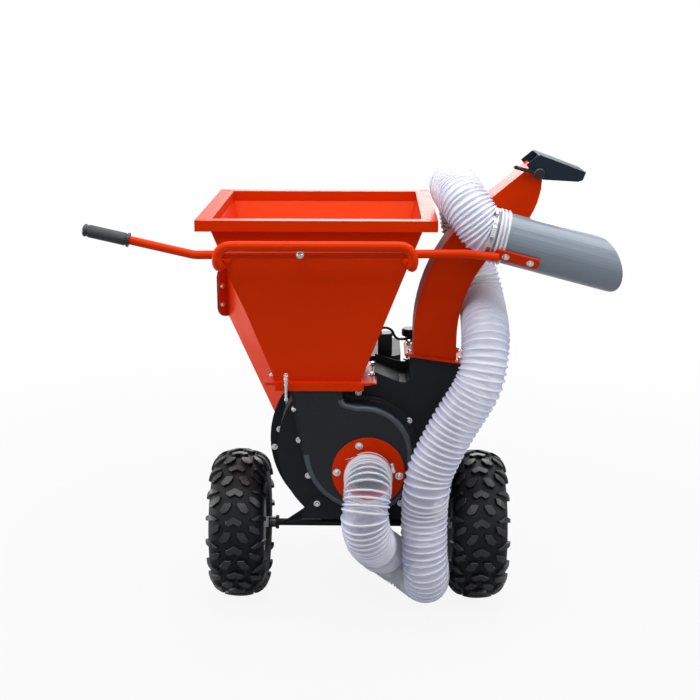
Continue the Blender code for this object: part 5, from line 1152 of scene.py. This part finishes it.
# %% Clamp levers of the deflector
PIVOT_X, PIVOT_Z = 0.3918, 1.0337
PADDLE_OUT = 0.030
KNOB = [(0, -0.003), (0.0112, -0.003), (0.0118, 0.0030), (0.0100, 0.0052), (0, 0.0052)]
for name, y, outward, degrees in (("front", -0.1005, -1, 165), ("rear", 0.0285, 1, -70)):
    reach = Vector((math.cos(math.radians(degrees)), 0, math.sin(math.radians(degrees))))
    pivot = place(PIVOT_X, y, PIVOT_Z)
    rounded_block(f"clamp_paddle_{name}", pivot + reach * PADDLE_OUT, (reach, BACK, reach.cross(Vector(BACK))),
                  (0.056, 0.0055, 0.0085), plastic, f"clamp_lever_{name}", bevel=0.0024)
    knob = revolved(f"clamp_knob_{name}", KNOB, pivot, (0, outward, 0), plastic, steps=36)
    fit(knob, f"clamp_lever_{name}")
    print("clamp lever", name, "points", degrees, "degrees up from the right")

# %% Screws and weld lines of the chipper chute and the hopper rim
CHIPPER_MOUTH = Vector((-0.3013, 0.2233, 0.7004))
CHIPPER_ACROSS, CHIPPER_IN = Vector((-0.7660, -0.6428, 0)), (0.6428, -0.7660, 0)
heads("chipper_flange_screws", "chassis", [
    (CHIPPER_MOUTH + CHIPPER_ACROSS * across + Vector((0, 0, lift)), CHIPPER_IN)
    for across in (-0.049, 0.049) for lift in (-0.0267, 0.0195)])
RIM_TUBE = 0.024
WELD_RADIUS = 0.0008
rim_low, rim_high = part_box("hopper_rim")
weld_z = rim_high[2] - 0.0002
mitres = [[(x + into_x * t, y + into_y * t, weld_z) for t in (WELD_RADIUS, RIM_TUBE)]
          for x, into_x in ((rim_low[0], 1), (rim_high[0], -1)) for y, into_y in ((rim_low[1], 1), (rim_high[1], -1))]
wire("rim_mitre_welds", mitres, WELD_RADIUS, 8, orange)
print("mitre welds:", len(mitres))

# %% [markdown]
# ## Engine dress
#
# The engine's bodies come from CAD as plain castings and pressings. What makes them an engine to the eye is what
# is fixed to them: louvres over the pull starter, ribs round the fuel cap, the seam where the halves of the tank
# are welded, a guard over the hot silencer, the lead on the spark plug. Nearly all of it repeats round an axis or
# follows a line, so the trees above make it.

# %% Starter, shroud and fuel cap
ENGINE_X, ENGINE_Z = 0.0240, 0.3600
STARTER_Y, SHROUD_Y = 0.3543, 0.3200
starter_middle = place(ENGINE_X, STARTER_Y, ENGINE_Z)


def on_engine_ring(distance, degrees, y):
    """A nominal point on a circle round the crankshaft's line."""
    a = math.radians(degrees)
    return ENGINE_X + distance * math.cos(a), y, ENGINE_Z + distance * math.sin(a)


louvre = block_mesh("louvre", (0.033, 0.0004, 0), SQUARE, (0.026, 0.0022, 0.0034), 0.0008)
louvres = repeated("starter_louvres", louvre, 18, starter_middle, BACK, black)
boss = revolved("starter_boss", [(0, -0.001), (0.0155, -0.001), (0.0155, 0.0016), (0.0130, 0.0030), (0, 0.0030)],
                starter_middle, BACK, black, steps=40)
for piece in (louvres, boss):
    fit(piece, "chassis")
starter_screws = [(on_engine_ring(0.0540, a, STARTER_Y), BACK) for a in (30, 150, 270)]
shroud_screws = [(on_engine_ring(0.0800, a, SHROUD_Y), BACK) for a in (20, 100, 200, 290)]
heads("starter_screws", "chassis", starter_screws, radius=0.0045)
heads("shroud_screws", "chassis", shroud_screws, radius=0.0050)
cap_rib = block_mesh("cap_rib", (0.0288, 0, 0.0095), SQUARE, (0.0018, 0.0034, 0.0180), 0.0006)
cap_ribs = repeated("fuel_cap_ribs", cap_rib, 26, place(-0.0500, 0.1650, 0.5755), UP, plastic)
fit(cap_ribs, "fuel_cap")
print("louvre faces", len(louvres.data.polygons), "cap rib faces", len(cap_ribs.data.polygons))

# %% [markdown]
# A tank and a silencer are each two pressed halves, and an air cleaner is a box with a lid. Where the halves meet
# there is a fine raised seam all round. It is a closed wire along a rectangle with round corners. The guard over
# the silencer is wire in the real world too: eleven bent bars and three straight ones welded across them.


# %% Seams of the tank, the air cleaner and the silencer
def rounded_loop(x0, x1, y0, y1, z, corner, steps=8):
    """Points round a rectangle with round corners."""
    loop = []
    for cx, cy, first in ((x1 - corner, y1 - corner, 0), (x0 + corner, y1 - corner, 90),
                          (x0 + corner, y0 + corner, 180), (x1 - corner, y0 + corner, 270)):
        for k in range(steps + 1):
            a = math.radians(first + 90 * k / steps)
            loop.append(place(cx + corner * math.cos(a), cy + corner * math.sin(a), z))
    return loop


for name, loop, thick, material, slot_name in (
    ("tank_seam", rounded_loop(-0.125, 0.100, 0.075, 0.255, 0.5275, 0.028), 0.0024, black, "black_paint"),
    ("cleaner_seam", rounded_loop(0.113, 0.200, 0.105, 0.195, 0.5980, 0.014), 0.0014, plastic, "black_plastic"),
    ("muffler_seam", rounded_loop(0.130, 0.235, 0.215, 0.300, 0.5300, 0.018), 0.0018, black, "black_paint"),
):
    seam = wire(name, [loop], thick, 8, material, closed=True)
    print(name, "faces", len(seam.data.polygons))

# %% Silencer guard
GUARD_Y, GUARD_GAP = 0.3000, 0.0075
GUARD_LEFT, BAR_STEP, BARS = 0.1500, 0.0065, 11
bar_bends = [(GUARD_Y, 0.4880), (GUARD_Y + GUARD_GAP, 0.4930), (GUARD_Y + GUARD_GAP, 0.5670), (GUARD_Y, 0.5720)]
guard_lines = [[place(GUARD_LEFT + BAR_STEP * k, y, z) for y, z in bar_bends] for k in range(BARS)]
guard_lines += [[place(x, GUARD_Y + GUARD_GAP, z) for x in (0.1480, 0.2170)] for z in (0.5050, 0.5300, 0.5550)]
wire("silencer_guard", guard_lines, 0.0015, 8, zinc)
print("guard bars", len(guard_lines))

# %% Screws of the cylinder head and the crankcase
HEAD_TILT = math.radians(25)
CYLINDER_FOOT, COVER_OUT = Vector((0.0240, 0.1400, 0.3700)), 0.2463
CASE_LEFT_X = -0.0783
head_along = Vector((math.cos(HEAD_TILT), 0, math.sin(HEAD_TILT)))
head_up = Vector((-math.sin(HEAD_TILT), 0, math.cos(HEAD_TILT)))
cover_end = CYLINDER_FOOT + head_along * COVER_OUT
valve_cover_screws = [(cover_end + head_up * u + Vector((0, v, 0)), head_along)
                      for u in (-0.031, 0.031) for v in (-0.025, 0.025)]
crankcase_screws = [((CASE_LEFT_X, y, z), (-1, 0, 0)) for y in (0.066, 0.140, 0.216) for z in (0.270, 0.441)]
heads("valve_cover_screws", "chassis", valve_cover_screws, radius=0.0045)
heads("crankcase_screws", "chassis", crankcase_screws, radius=0.0050)
print("screws in the engine:", len(valve_cover_screws) + len(crankcase_screws))

# %% [markdown]
# ## Control box, pipe and lead
#
# Between the hopper and the chute stand a black box with a thin bent pipe, and a round cap beside it. The pipe and
# the spark plug's lead both follow a smooth curve through a few points. The lead is a soft cord of a fixed length,
# held at both ends. The pipe is short, stiff and moulded to its shape.

# %% Control box, breather and cap between the hopper and the chute
rounded_block("control_box", place(0.0620, 0.0950, 0.6000), SQUARE, (0.034, 0.034, 0.050),
              plastic, "chassis", bevel=0.0030)
rounded_block("control_box_lid", place(0.0620, 0.0950, 0.6255), SQUARE, (0.037, 0.037, 0.006),
              plastic, "chassis", bevel=0.0015)
breather_line = smooth_line([place(*p) for p in (
    (0.0520, 0.0950, 0.6270), (0.0510, 0.0950, 0.6350), (0.0580, 0.0950, 0.6400), (0.0690, 0.0960, 0.6390),
    (0.0790, 0.0980, 0.6320), (0.0850, 0.1010, 0.6190), (0.0930, 0.1040, 0.6110), (0.1050, 0.1080, 0.6090),
    (0.1160, 0.1110, 0.6090))], 6)
wire("breather_pipe", [breather_line], 0.0030, 12, rubber)
cap_seat = place(0.1230, 0.1240, 0.6160)
CAP_PROFILE = [(0, -0.001), (0.0195, -0.001), (0.0195, 0.0140), (0.0170, 0.0165), (0, 0.0165)]
cleaner_cap = revolved("cleaner_cap", CAP_PROFILE, cap_seat, UP, plastic, steps=48)
cap_notch = block_mesh("cap_notch", (0.0195, 0, 0.0070), SQUARE, (0.0014, 0.0020, 0.0120), 0.0004)
for piece in (cleaner_cap, repeated("cleaner_cap_ribs", cap_notch, 32, cap_seat, UP, plastic)):
    fit(piece, "chassis")
print("breather pipe", round(float(run_of(breather_line)[-1]), 3), "m")

# %% Spark plug lead
LEAD_DIAMETER = 0.0066
boot_line = smooth_line([place(*p) for p in (
    (0.2098, 0.0700, 0.4566), (0.2098, 0.0540, 0.4566), (0.2085, 0.0460, 0.4580), (0.2020, 0.0415, 0.4630),
    (0.1940, 0.0410, 0.4690))], 5)
wire("plug_boot", [boot_line], 0.0100, 14, rubber, sharp=60)
lead_line = smooth_line([place(*p) for p in (
    (0.1940, 0.0410, 0.4690), (0.1780, 0.0430, 0.4770), (0.1560, 0.0510, 0.4800), (0.1340, 0.0640, 0.4740),
    (0.1160, 0.0780, 0.4620), (0.1040, 0.0880, 0.4530))], 8)
lead = wire("spark_lead", [lead_line], LEAD_DIAMETER / 2, 12, rubber)
